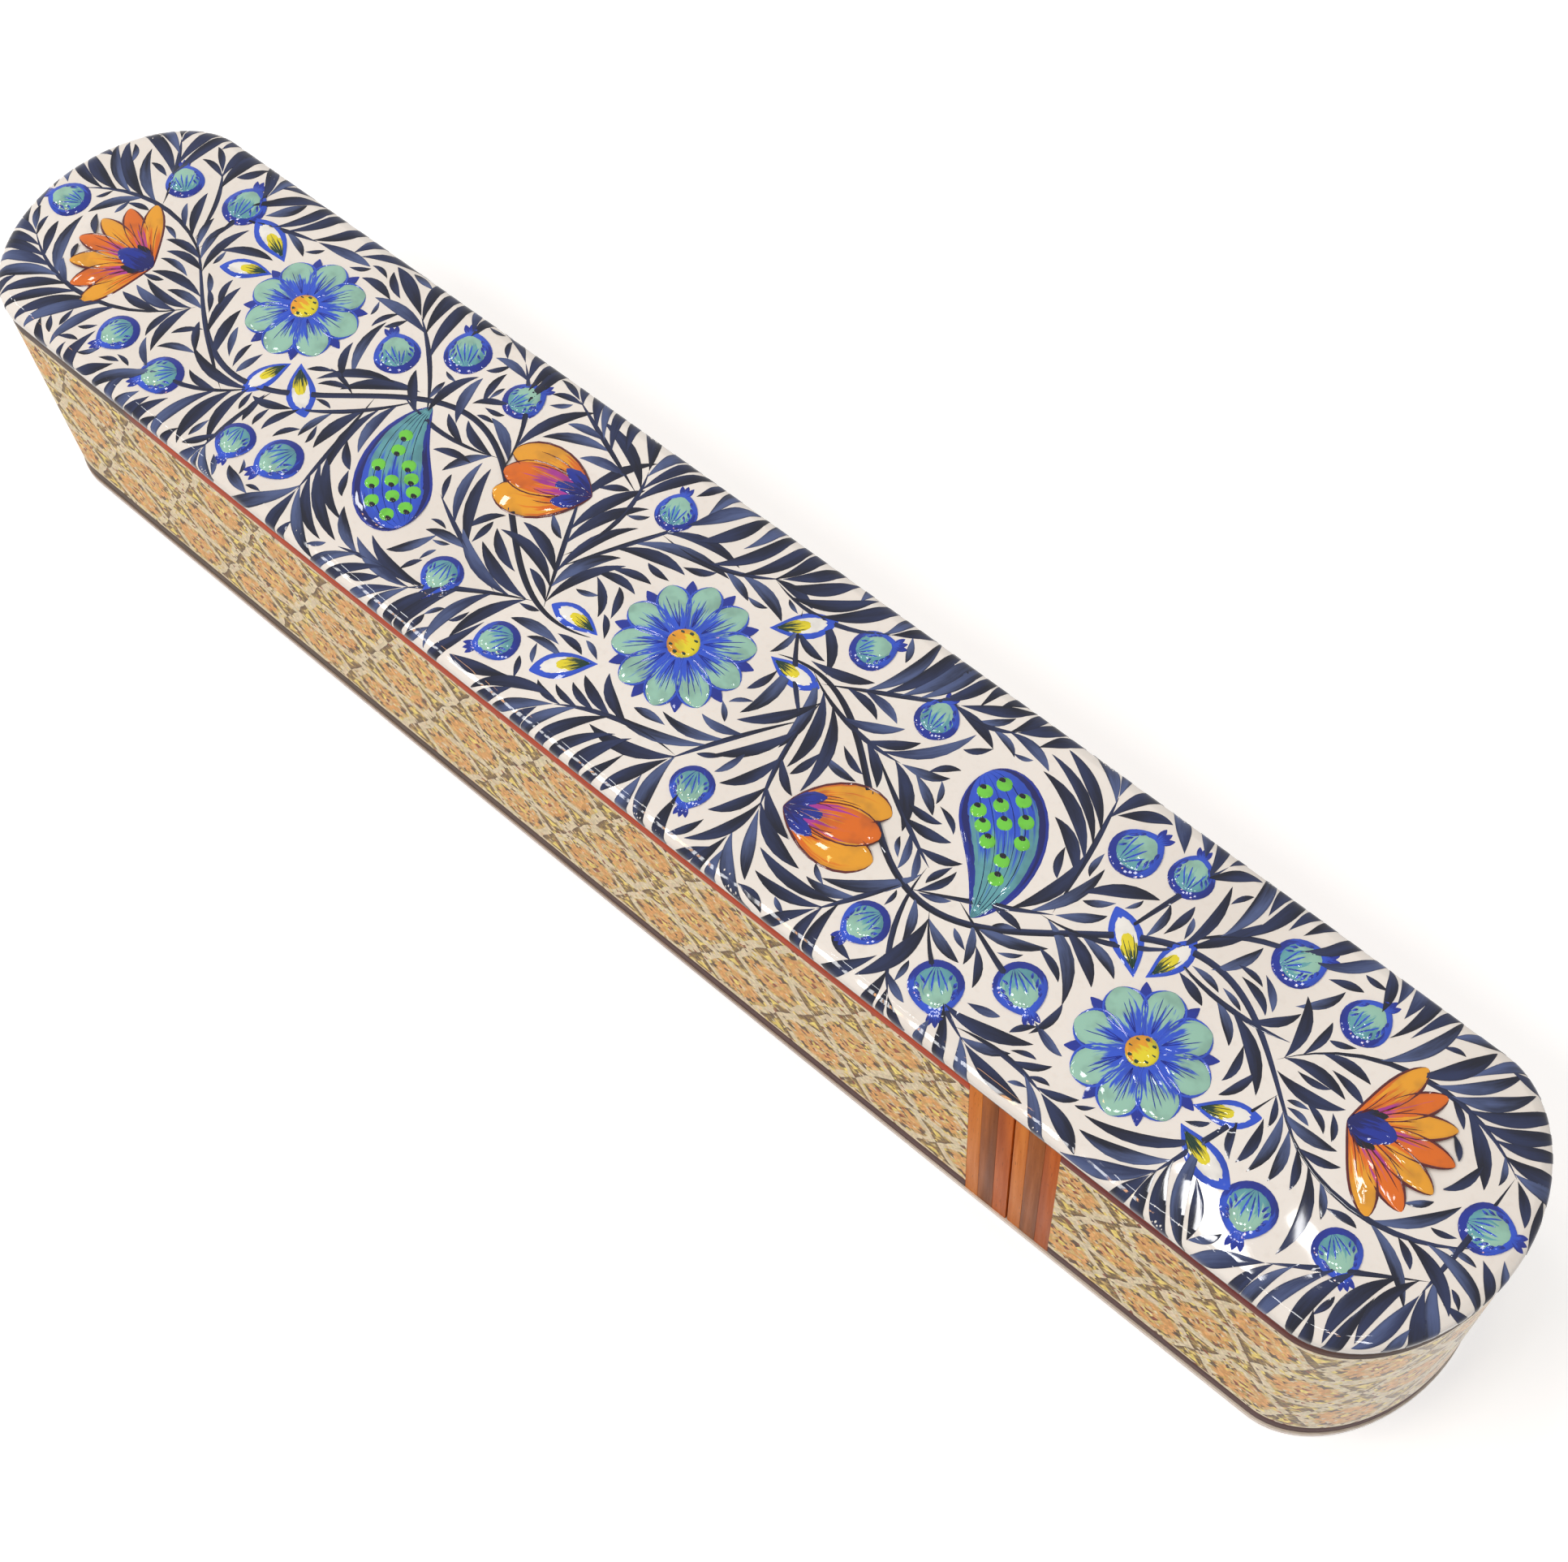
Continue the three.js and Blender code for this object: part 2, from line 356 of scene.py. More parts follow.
# %% A row of lamps for the near rim
ROW_LAMPS = 16
ROW_START = -0.676
ROW_STEP = 0.0405
ROW_BESIDE, ROW_UP = -0.55, 0.9
WARM_ASIDE = 0.019
ROW_LAMP, ROW_WARM_LAMP = ((0.022, 0.2), 17.5), ((0.008, 0.12), 26.0, WARM)
NEAR_RIM = -0.02
PLATE_LEVEL = 0.04
MIRROR_STRETCH = 4.68
for k in range(ROW_LAMPS):
    x = ROW_START + k * ROW_STEP
    aim = (VIEW_PLACE.x + (x - VIEW_PLACE.x) / MIRROR_STRETCH, NEAR_RIM, PLATE_LEVEL)
    add_lamp(f"row_lamp_{k}", (x, ROW_BESIDE, ROW_UP), aim, *ROW_LAMP)
    if k % 2:
        add_lamp(f"row_warm_lamp_{k}", (x + WARM_ASIDE, ROW_BESIDE, ROW_UP), aim, *ROW_WARM_LAMP)

# %% Lamps for the domes
CEILING = 1.0
DOME_PLACES = (
    (-1.2, -0.1), (-1.0, 0.02), (-0.8, -0.13), (-0.61, 0.0), (-0.42, -0.11), (-0.22, 0.03),
    (-0.03, -0.1), (0.15, 0.0), (0.06, -0.05), (0.25, -0.12), (0.32, 0.0),
)
DOME_LAMP, DOME_WARM_LAMP = ((0.06, 0.06), 21.0), ((0.035, 0.035), 26.0, WARM)
DOME_WARM_ASIDE = 0.09
for k, (x, y) in enumerate(DOME_PLACES):
    aim = (x * 0.15, 0.0, PLATE_LEVEL)
    add_lamp(f"dome_lamp_{k}", (x, y, CEILING), aim, *DOME_LAMP)
    if k % 2:
        warm_place = (x + DOME_WARM_ASIDE, y - DOME_WARM_ASIDE, CEILING)
        add_lamp(f"dome_warm_lamp_{k}", warm_place, aim, *DOME_WARM_LAMP)

# %% Lamps for the patch and the front end
PATCH_WAY = (0.063, -0.032, 0.0)
for name, place, aim, size, radiance, along in (
    ("patch_lamp", (-0.014, 0.294, CEILING), (0.1, -0.015, CASE_TOP), (0.066, 0.015), 30.0, PATCH_WAY),
    ("patch_side_lamp", (0.03, 0.318, CEILING), (0.105, -0.012, CASE_TOP), (0.03, 0.008), 30.0, PATCH_WAY),
    ("front_lamp", (0.6, -0.3, 0.8), (0.12, -0.01, PLATE_LEVEL), (0.05, 0.12), 22.0, CROSSWISE),
):
    add_lamp(name, place, aim, size, radiance, along=along)

# %% [markdown]
# ## Settling a piece
# Every shape below starts as a bmesh. This helper turns it into an object, smooths it where its
# faces meet softly, hangs it on the body that it rides on, and hides the node of the model that it stands
# for.


# %% Settle helper
def settle(shape, name, body, material, node=None, soft_angle=40.0):
    piece = as_object(shape, name, material)
    mesh = piece.data
    mesh.shade_smooth()
    mesh.set_sharp_from_angle(angle=radians(soft_angle))
    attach(piece, body)
    if node:
        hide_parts(node)
    print(name, sum(len(face.vertices) - 2 for face in mesh.polygons), "triangles")


def sharp_edges(shape, angle=60.0):
    limit = radians(angle)
    return [e for e in shape.edges if e.is_manifold and e.calc_face_angle() > limit]


def soften(shape, edges, width, segments=2):
    bmesh.ops.bevel(
        shape, geom=edges, offset=width, segments=segments, profile=0.5, affect="EDGES", material=-1
    )


# %% [markdown]
# ## The two plates
# A plate is the outline of the case as one many-sided face, drawn up to its thickness. The top
# plate's rim is sanded round: a tight arc, a nearly flat one and a tight one again, each made of a
# few insets that also sink or rise. A narrow last inset keeps the big flat face perfectly flat when
# it is shaded smoothly, so reflections on the lacquer don't bend there.


# %% Plates
HOLDING_INSET = 0.35 * MM
RIM_ARCS = ((0.8, 0, 19, 3), (5.5, 19, 30, 4), (0.8, 30, 90, 6))


def rim_table():
    """Rows of (way over the rim, way out, drop, tilt) from the flat of the plate to its side, in mm."""
    rows = [(0.0, 0.0, 0.0, 0.0)]
    for radius, first, last, parts in RIM_ARCS:
        for k in range(parts):
            before, after = (radians(first + (last - first) * (k + j) / parts) for j in (0, 1))
            way, out, drop, _ = rows[-1]
            out += radius * (sin(after) - sin(before))
            drop += radius * (cos(before) - cos(after))
            rows.append((way + radius * (after - before), out, drop, after))
    return np.array(rows)


RIM_ROWS = rim_table()
RIM_WAY, RIM_OUT, RIM_DROP, _ = RIM_ROWS[-1]
print("rim", round(RIM_OUT, 2), "mm wide and", round(RIM_DROP, 2), "mm deep")


def plan_face(inset, height, edge_steps=420):
    """A bmesh with one face: the outline of the case drawn in by a distance."""
    shape = bmesh.new()
    bmesh.ops.create_circle(shape, cap_ends=True, segments=edge_steps, radius=1.0)
    closed, runs = closed_round(PLAN + INWARD * inset)
    for vert in shape.verts:
        share = (atan2(vert.co.y, vert.co.x) / tau + 0.5) % 1.0
        x, y = (np.interp(share * runs[-1], runs, closed[:, k]) for k in (0, 1))
        vert.co = (x, y, height)
    shape.normal_update()
    if shape.faces[:][0].normal.z < 0:
        bmesh.ops.reverse_faces(shape, faces=shape.faces[:])
    return shape


def raise_face(shape, height):
    """Draws the one face up into a closed plate and returns its upper face."""
    grown = bmesh.ops.extrude_face_region(shape, geom=shape.faces[:], use_keep_orig=True)["geom"]
    raised = [part for part in grown if isinstance(part, bmesh.types.BMVert)]
    bmesh.ops.translate(shape, verts=raised, vec=(0, 0, height))
    bmesh.ops.recalc_face_normals(shape, faces=shape.faces[:])
    shape.faces.ensure_lookup_table()
    return max(shape.faces, key=lambda face: face.calc_center_median().z)


def hold_flat(shape):
    """Insets the two big faces a little, so that smooth shading leaves them flat."""
    for face in sorted(shape.faces, key=lambda face: -face.calc_area())[:2]:
        bmesh.ops.inset_region(shape, faces=[face], thickness=HOLDING_INSET)
    return shape


def crowned_plate(bottom, top):
    """A plate whose upper face rises over the rim's arcs in insets."""
    shape = plan_face(0.0, bottom)
    upper = raise_face(shape, top - bottom - RIM_DROP * MM)
    for outer, inner in zip(RIM_ROWS[:0:-1], RIM_ROWS[-2::-1]):
        inset, rise = (outer[1:3] - inner[1:3]) * MM
        bmesh.ops.inset_region(shape, faces=[upper], thickness=inset, depth=rise, use_even_offset=True)
    return hold_flat(shape)


def thin_plate(bottom, top, radius):
    """A plate with its lower edge rounded by a bevel."""
    shape = plan_face(0.0, bottom)
    raise_face(shape, top - bottom)
    lower = min(shape.faces, key=lambda face: face.calc_center_median().z)
    soften(shape, list(lower.edges), radius, 3)
    return hold_flat(shape)


# %% The top plate
LACQUER_WAVES = 0.025 * MM


def lacquer_relief(finish, own=None, distance=0.0):
    """The slightly uneven surface of thick lacquer, and any finer relief of the paint under it."""
    broad, fine = (finish.noise(finish.place(), scale, 1.0) for scale in (60.0, 210.0))
    waves = finish.relief(broad + fine * 0.25, LACQUER_WAVES)
    return waves if own is None else finish.relief(own, distance, under=waves)


ivory = Finish("ivory_lacquer")
ivory_height = ivory.parts(ivory.place())[2]
ivory_clouds = ivory.noise(ivory.place(), 28.0, 3.0)
ivory_specks = ivory.noise(ivory.place(), 900.0, 3.0)
ivory_tone = ivory.mix(ivory_clouds.ramp(0.35, 0.7), dye(236, 230, 222), dye(228, 221, 212))
ivory_tone = ivory.mix(ivory_specks.ramp(0.5, 0.8) * 0.25, ivory_tone, dye(214, 204, 192))
# The plate's colour turns dark brown in a thin band along the lower edge of its side.
dark_lower_band = ivory_height.ramp(WALL_TOP + 0.30 * MM, WALL_TOP + 0.12 * MM)
ivory_tone = ivory.mix(dark_lower_band, ivory_tone, dye(52, 36, 34))
ivory.dress(Base_Color=ivory_tone, Roughness=0.025, IOR=1.45, Normal=lacquer_relief(ivory))
top_plate = crowned_plate(WALL_TOP, CASE_TOP)
settle(top_plate, "ivory_plate", "sheath", ivory.material, "top_plate")

# %% The base plate
EDGE_ROUNDING = 0.4 * MM
pale = Finish("pale_base")
pale_along, _, pale_height = pale.parts(pale.place())
pale_grain = pale.noise(pale.place(), (40.0, 700.0, 900.0), 4.0)
pale_front = pale.mix(pale_grain.ramp(0.35, 0.7), dye(226, 214, 198), dye(205, 190, 172))
pale_back = pale.mix(pale_grain.ramp(0.35, 0.7), dye(150, 122, 98), dye(118, 92, 74))
pale_tone = pale.mix(pale_along.ramp(70 * MM, 20 * MM) * 0.7, pale_front, pale_back)
middle_line = abs(pale_height - 0.62 * MM).ramp(0.16 * MM, 0.08 * MM)
pale_tone = pale.mix(middle_line * 0.55, pale_tone, dye(168, 96, 78))
pale_shine = pale_grain.ramp(0.2, 0.8, 0.35, 0.5)
pale.dress(Base_Color=pale_tone, Roughness=pale_shine, Coat_Weight=0.5, Coat_Roughness=0.12)
base_plate = thin_plate(0.0, WALL_BOTTOM, EDGE_ROUNDING)
settle(base_plate, "pale_base_plate", "sheath", pale.material, "base_plate")

# %% [markdown]
# ## Bands round the wall
# The two lines of wood and the strips at the joint are thin bands glued round the wall. Each starts
# as a flat grid that is bent round the outline, gets its thickness by solidify, and has its long
# edges eased. Its UV map holds the run round the wall and the height, so the grain can follow it.

# %% Bands
BAND_STEP = 1.3 * MM
EASED = 0.08 * MM


def flat_sheet(run_start, run_end, bottom, top):
    """A flat sheet in run and height, split finely enough to be bent."""
    shape = bmesh.new()
    columns = max(2, round((run_end - run_start) / BAND_STEP))
    bmesh.ops.create_grid(shape, x_segments=columns, y_segments=1, size=0.5)
    for vert in shape.verts:
        vert.co.x = run_start + (vert.co.x + 0.5) * (run_end - run_start)
        vert.co.y = bottom + (vert.co.y + 0.5) * (top - bottom)
    return shape


def bend_round(shape):
    """Keeps the flat places as a UV map in metres, and bends the sheet round the wall."""
    wrap = shape.loops.layers.uv.new("Wrap")
    for face in shape.faces:
        for loop in face.loops:
            loop[wrap].uv = (loop.vert.co.x, loop.vert.co.y)
    for vert in shape.verts:
        vert.co = on_wall(vert.co.x, vert.co.y)


def thicken(shape, thickness):
    bmesh.ops.recalc_face_normals(shape, faces=shape.faces[:])
    outward = sum((face.normal.dot(face.calc_center_median()) for face in shape.faces[:50]), 0.0)
    if outward < 0:
        bmesh.ops.reverse_faces(shape, faces=shape.faces[:])
    bmesh.ops.solidify(shape, geom=shape.faces[:], thickness=thickness)
    bmesh.ops.recalc_face_normals(shape, faces=shape.faces[:])


def band(run_start, run_end, bottom, top):
    shape = flat_sheet(run_start, run_end, bottom, top)
    bend_round(shape)
    thicken(shape, VENEER)
    soften(shape, sharp_edges(shape), EASED, 2)
    return shape


def wrap_grain(finish, along, across, shift=0.0):
    """Wood fibres that run with the band, or across it, from its UV map."""
    wrap = finish.shifted(finish.surface_map("Wrap"), (shift, shift, 0.0))
    return wrap, finish.noise(wrap, (along, across, 1.0), 5.0, 0.6)


# %% Where the sheath's and the drawer's bands lie
SHEATH_RUN = run_to(SHEATH_EDGE - BAND_WIDTH)
DRAWER_RUN = run_to(DRAWER_EDGE + BAND_WIDTH)
WALL_RUNS = {"sheath": (-SHEATH_RUN, SHEATH_RUN), "drawer": (DRAWER_RUN, GIRTH - DRAWER_RUN)}
WALL_HEIGHTS = {
    "sheath": (WALL_BOTTOM, WALL_TOP),
    "drawer": (WALL_BOTTOM + RUNNING_GAP, WALL_TOP - RUNNING_GAP),
}


def line_round(body, side, slot, material):
    """One line of wood over or under the marquetry, round the sheath or the drawer's front."""
    bottom, top = WALL_HEIGHTS[body]
    edges = {"upper": (MARQUETRY_TOP, top), "lower": (bottom, MARQUETRY_BOTTOM)}[side]
    shape = band(*WALL_RUNS[body], *edges)
    settle(shape, f"{body}_{slot}", body, material, f"{body}_{side}_line")


# %% Upper line: dark round the back, orange-red along the sides
UPPER_GRAIN, LOWER_GRAIN = (130.0, 2400.0), (110.0, 2000.0)
LINE_GLOSS = {"Roughness": 0.4, "Coat_Weight": 0.03, "Coat_Roughness": 0.08, "Specular_IOR_Level": 0.02}
WALL_GLOSS = {"Coat_Weight": 0.04, "Coat_Roughness": 0.08, "Specular_IOR_Level": 0.04}

red = Finish("red_line_sheath")
_, red_fibres = wrap_grain(red, *UPPER_GRAIN)
red_patches = red.noise(red.place(), 42.0, 3.0, 0.6)
red_sides = red.mix(red_fibres.ramp(0.3, 0.72), dye(204, 74, 22), dye(160, 48, 14))
red_sides = red.mix(red_patches.ramp(0.5, 0.78) * 0.5, red_sides, dye(124, 44, 20))
red_back = red.mix(red_fibres.ramp(0.3, 0.7), dye(108, 92, 82), dye(74, 60, 54))
back_share = (red.along() + (red_patches - 0.5) * 0.05).ramp(-78 * MM, -92 * MM)
red.dress(Base_Color=red.mix(back_share, red_sides, red_back), **LINE_GLOSS)
line_round("sheath", "upper", "red_line", red.material)

maroon = Finish("red_line_drawer")
_, maroon_fibres = wrap_grain(maroon, *UPPER_GRAIN)
maroon_sides = maroon.mix(maroon_fibres.ramp(0.3, 0.72), dye(128, 48, 40), dye(90, 32, 30))
maroon_front = maroon.mix(maroon_fibres.ramp(0.3, 0.7), dye(84, 62, 52), dye(56, 40, 36))
front_share = maroon.along().ramp(103 * MM, 119 * MM)
maroon.dress(Base_Color=maroon.mix(front_share, maroon_sides, maroon_front), **LINE_GLOSS)
line_round("drawer", "upper", "red_line", maroon.material)

# %% Lower line: grey-brown, turning purple-brown towards the front
dark = Finish("dark_line")
_, dark_fibres = wrap_grain(dark, *LOWER_GRAIN)
dark_back = dark.mix(dark_fibres.ramp(0.3, 0.7), dye(104, 88, 78), dye(76, 62, 56))
dark_front = dark.mix(dark_fibres.ramp(0.3, 0.7), dye(104, 74, 72), dye(70, 48, 50))
dark_tone = dark.mix(dark.along().ramp(-60 * MM, 40 * MM), dark_back, dark_front)
dark.dress(Base_Color=dark_tone, Roughness=0.42, **WALL_GLOSS)
for body in WALL_RUNS:
    line_round(body, "lower", "dark_line", dark.material)

# %% [markdown]
# ## The strips at the joint
# Three narrow strips of different woods stand upright on each side of the joint. Their fibres run
# up and down, and broad soft streaks pass from one tone to the next, as in the photograph.


# %% Strips
def strip_finish(wood, light, deep, streak, shift):
    finish = Finish(f"{wood}_strip")
    wrap, fibres = wrap_grain(finish, 1500.0, 60.0, shift)
    streaks = finish.noise(wrap, (380.0, 14.0, 1.0), 1.0)
    pores = finish.noise(wrap, (6500.0, 420.0, 1.0), 1.0)
    tone = finish.mix(fibres.ramp(0.2, 0.85), dye(*light), dye(*deep))
    tone = finish.mix(streaks.ramp(0.42, 0.66) * 0.85, tone, dye(*streak))
    tone = finish.mix(pores.ramp(0.64, 0.76) * 0.5, tone, dye(84, 42, 22))
    return finish.dress(
        Base_Color=tone,
        Roughness=fibres.ramp(0.2, 0.8, 0.38, 0.52),
        Normal=finish.relief(pores, 0.03 * MM, 0.4),
        **WALL_GLOSS,
    )


strip_finishes = {
    "amber": strip_finish("amber", (222, 134, 54), (200, 108, 38), (184, 92, 30), 0.01),
    "walnut": strip_finish("walnut", (170, 96, 40), (138, 76, 34), (114, 62, 30), 0.05),
    "russet": strip_finish("russet", (206, 108, 38), (180, 84, 26), (150, 70, 26), 0.09),
}
for body, x in (("sheath", SHEATH_EDGE - BAND_WIDTH), ("drawer", DRAWER_EDGE)):
    for wood, width in STRIP_WIDTHS.items():
        near, far = run_to(x), run_to(x + width)
        for side, *runs in (("right", near, far), ("left", GIRTH - far, GIRTH - near)):
            node = f"{body}_{side}_{wood}_strip"
            shape = band(*runs, *WALL_HEIGHTS[body])
            settle(shape, f"{node}_wood", body, strip_finishes[wood], node)
        x += width

# %% [markdown]
# ## The star marquetry
# On the real case thin rods of wood, bone and brass with three-cornered sections are glued into
# star-shaped bundles, sliced, and laid side by side. We do the same: one unit is a sheet cut by
# planes in three directions into small triangles, each triangle takes the wood that its place in
# the star asks for, and the units are laid in three rows, each half a unit further on.

# %% One star unit
UNIT_RUN = 13.6 * MM
ROWS = 3
ROW_HEIGHT = (MARQUETRY_TOP - MARQUETRY_BOTTOM) / ROWS
SPLINTERS = 18
EDGE = UNIT_RUN / SPLINTERS
RISE = ROW_HEIGHT / SPLINTERS
SLOPE = math.sqrt(3) / 2
WOODS = ["bone", "orange", "honey", "brass", "redwood", "olive", "ebony", "straw"]


def ways_out(x, y, first):
    """How many rows a point lies outwards in three directions that are a third of a turn apart."""
    turns = [radians(first + 120 * k) for k in range(3)]
    return [(x * cos(t) + y * sin(t)) / SLOPE for t in turns]


def star_wood(x, y):
    """The wood of a splinter in the six-sided cell, from its place in splinter edges."""
    up, down = max(ways_out(x, y, 90)), max(ways_out(x, y, 30))
    ring = max(up, down)
    if ring < 1:
        return "brass"
    if ring < 2:
        return "redwood" if up > down else "orange"
    if ring > 6.9:
        return "bone"
    if min(up, down) < 4.5:
        return "honey" if ring < 3 or ring > 6 else "orange"
    turn = (atan2(y, x) + radians(30)) % radians(60) - radians(30)
    reach, off = hypot(x, y) * cos(turn), hypot(x, y) * abs(sin(turn))
    if abs(reach - 6.5) < 0.6 and off < 0.5:
        return "brass"
    if reach < 6.1 and off < 0.8 or abs(reach - 6.5) < 0.8 and 1.2 < off < 1.7:
        return "ebony"
    return "olive" if (math.floor(y / SLOPE + 40) + (off > 1)) % 2 == 0 and reach < 7.3 else "straw"


def corner_wood(x, y, way):
    """The wood of a splinter in a three-sided cell between the stars, from its middle."""
    walls = ways_out(x, y, 90 * -way)
    if max(walls) < 1:
        return "brass"
    if walls[0] > 2:
        return "bone"
    pointing_up = (walls[0] % 1.0) > 0.5
    if max(walls[1:]) > 2 or max(walls) < 2 and hypot(x, y) < 1.6:
        return "ebony" if pointing_up else "olive"
    return "straw" if (math.floor(walls[1] + 30) % 2 == 0) == pointing_up else "olive"


def splinter_wood(x, y):
    """x and y are in splinter edges from the middle of the star."""
    half = SPLINTERS / 2
    if max(ways_out(x, y, 90) + ways_out(x, y, 30)) < half:
        return star_wood(x, y)
    way = 1 if y < 0 else -1
    return corner_wood(x - half, y + way * half * SLOPE * 2 / 3, way)


def cut(shape, place, way, **settings):
    """Cuts a sheet along a plane, which faces the given way."""
    parts = shape.faces[:] + shape.edges[:] + shape.verts[:]
    bmesh.ops.bisect_plane(shape, geom=parts, plane_co=place, plane_no=way, **settings)


def star_unit():
    """A sheet in splinter edges with the six-sided cell and the two corner cells at its right."""
    shape = bmesh.new()
    half = SPLINTERS / 2
    bmesh.ops.create_grid(shape, x_segments=1, y_segments=1, size=1.0)
    tall = half * SLOPE
    for vert in shape.verts:
        vert.co = (half * 0.25 + vert.co.x * half * 1.25, vert.co.y * tall, 0)
    for turn in (0, 60, 120):
        across = Vector((-sin(radians(turn)), cos(radians(turn)), 0))
        for row in range(-3 * SPLINTERS, 3 * SPLINTERS + 1):
            cut(shape, across * row * SLOPE, across, dist=1e-5)
    bmesh.ops.remove_doubles(shape, verts=shape.verts[:], dist=1e-4)
    extra = []
    for face in shape.faces:
        middle = face.calc_center_median()
        left = -half + abs(middle.y) / SLOPE / 2
        if left < middle.x < left + SPLINTERS:
            face.material_index = WOODS.index(splinter_wood(middle.x, middle.y))
        else:
            extra.append(face)
    bmesh.ops.delete(shape, geom=extra, context="FACES")
    return shape


unit = star_unit()
unit_mesh = bpy.data.meshes.new("star_unit")
unit.to_mesh(unit_mesh)
print("star unit", len(unit.faces), "splinters")
unit.free()

# %% Laying the units side by side
SPLINTER_DYES = {
    "bone": ((236, 220, 184), 16),
    "orange": ((234, 172, 96), 20),
    "honey": ((230, 190, 124), 18),
    "brass": ((238, 214, 104), 18),
    "redwood": ((146, 62, 28), 18),
    "olive": ((150, 122, 60), 24),
    "ebony": ((92, 66, 42), 18),
    "straw": ((220, 190, 108), 22),
}
SIDEWAYS = Vector((1.0, 1.0, 0.0))
SWAYS = ((170, 0.75), (600, 0.28))
SPECK_SHARE = 0.17
SPECKS = ("olive", "ebony", "brass", "straw", "redwood", "bone", "bone", "honey")
noise.seed_set(5)  # without a seed of its own this noise starts from the clock


def cut_off(shape, place, outward):
    cut(shape, place, outward, clear_outer=True, dist=1e-7)


def splinter_dye(wood, chance):
    """The dye of one splinter, a little lighter or darker than its wood, and its share of metal."""
    if chance.random() < SPECK_SHARE:
        wood = chance.choice(SPECKS)
    base, spread = SPLINTER_DYES[wood]
    shift = chance.uniform(-spread, spread)
    colour = dye(*(min(255, max(0, c + shift + chance.uniform(-4, 4))) for c in base))
    return (*colour[:3], 1.0 if wood == "brass" else 0.0)


def lay_units(run_start, run_end, chance):
    """A flat sheet of star units between two runs, with a dye for each splinter."""
    shape = bmesh.new()
    for row in range(ROWS):
        offset = 0.5 * (row % 2)
        first = math.floor(run_start / UNIT_RUN - offset) - 1
        last = math.ceil(run_end / UNIT_RUN - offset) + 1
        height = MARQUETRY_BOTTOM + (row + 0.5) * ROW_HEIGHT
        for column in range(first, last + 1):
            known = len(shape.verts)
            shape.from_mesh(unit_mesh)
            shape.verts.ensure_lookup_table()
            for vert in shape.verts[known:]:
                x, y, _ = vert.co
                vert.co = ((column + offset) * UNIT_RUN + x * EDGE, height + y / SLOPE * RISE, 0)
    bmesh.ops.remove_doubles(shape, verts=shape.verts[:], dist=1e-6)
    for vert in shape.verts:
        inside = min(vert.co.y - MARQUETRY_BOTTOM, MARQUETRY_TOP - vert.co.y, MM) / MM
        sway = sum((noise.noise_vector(vert.co * scale) * share for scale, share in SWAYS), Vector())
        vert.co += sway * MM * max(inside, 0) * SIDEWAYS
    cut_off(shape, (run_start, 0, 0), (-1, 0, 0))
    cut_off(shape, (run_end, 0, 0), (1, 0, 0))
    tone = shape.loops.layers.float_color.new("splinter")
    corner = shape.loops.layers.uv.new("Corner")
    corners = ((0.0, 0.0), (1.0, 0.0), (0.0, 1.0))
    for face in shape.faces:
        colour = splinter_dye(WOODS[face.material_index], chance)
        for k, loop in enumerate(face.loops):
            loop[tone] = colour
            loop[corner].uv = corners[k] if len(face.verts) == 3 else (0.33, 0.33)
        face.material_index = 0
    return shape


# %% The marquetry's finish
mosaic = Finish("star_mosaic")
mosaic_metal = mosaic.attribute("splinter", "Alpha")
corner_u, corner_v, _ = mosaic.parts(mosaic.surface_map("Corner"))
seam = corner_u.least(corner_v).least(1 - corner_u - corner_v).ramp(0.05, 0.015)
mosaic_fibres = mosaic.noise(mosaic.surface_map("Wrap"), (2600.0, 900.0, 1.0), 3.0)
mosaic_clouds = mosaic.noise(mosaic.surface_map("Wrap"), 60.0, 2.0)
mosaic_tone = mosaic.attribute("splinter")
for share, colour in (
    (mosaic_fibres.ramp(0.4, 0.8) * 0.22, dye(120, 84, 50)),
    (seam * 0.25, dye(104, 68, 36)),
    (mosaic_clouds.ramp(0.4, 0.75) * 0.12, dye(190, 150, 96)),
):
    mosaic_tone = mosaic.mix(share, mosaic_tone, colour)
mosaic.dress(
    Base_Color=mosaic_tone,
    Metallic=mosaic_metal * 0.35,
    Roughness=mosaic_fibres.ramp(0.2, 0.8, 0.32, 0.45),
    Coat_Weight=mosaic.along().ramp(102 * MM, 121 * MM, 0.05, 0.52),
    Coat_Roughness=0.08,
    Specular_IOR_Level=0.05,
)

# %% The veneer round the sheath and the drawer's front
for seed, (body, runs) in enumerate(WALL_RUNS.items(), 11):
    sheet = lay_units(*runs, random.Random(seed))
    bend_round(sheet)
    thicken(sheet, VENEER)
    slot, node = "marquetry", f"{body}_marquetry"
    settle(sheet, f"{body}_star_marquetry", body, mosaic.material, node)
bpy.data.meshes.remove(unit_mesh)

# %% [markdown]
# ## Plain wood
# The wall, the drawer's front and the two boards keep the model's own shapes and only get a better
# material: wood whose rings are warped planes that slope along the case, with fibres and pores.


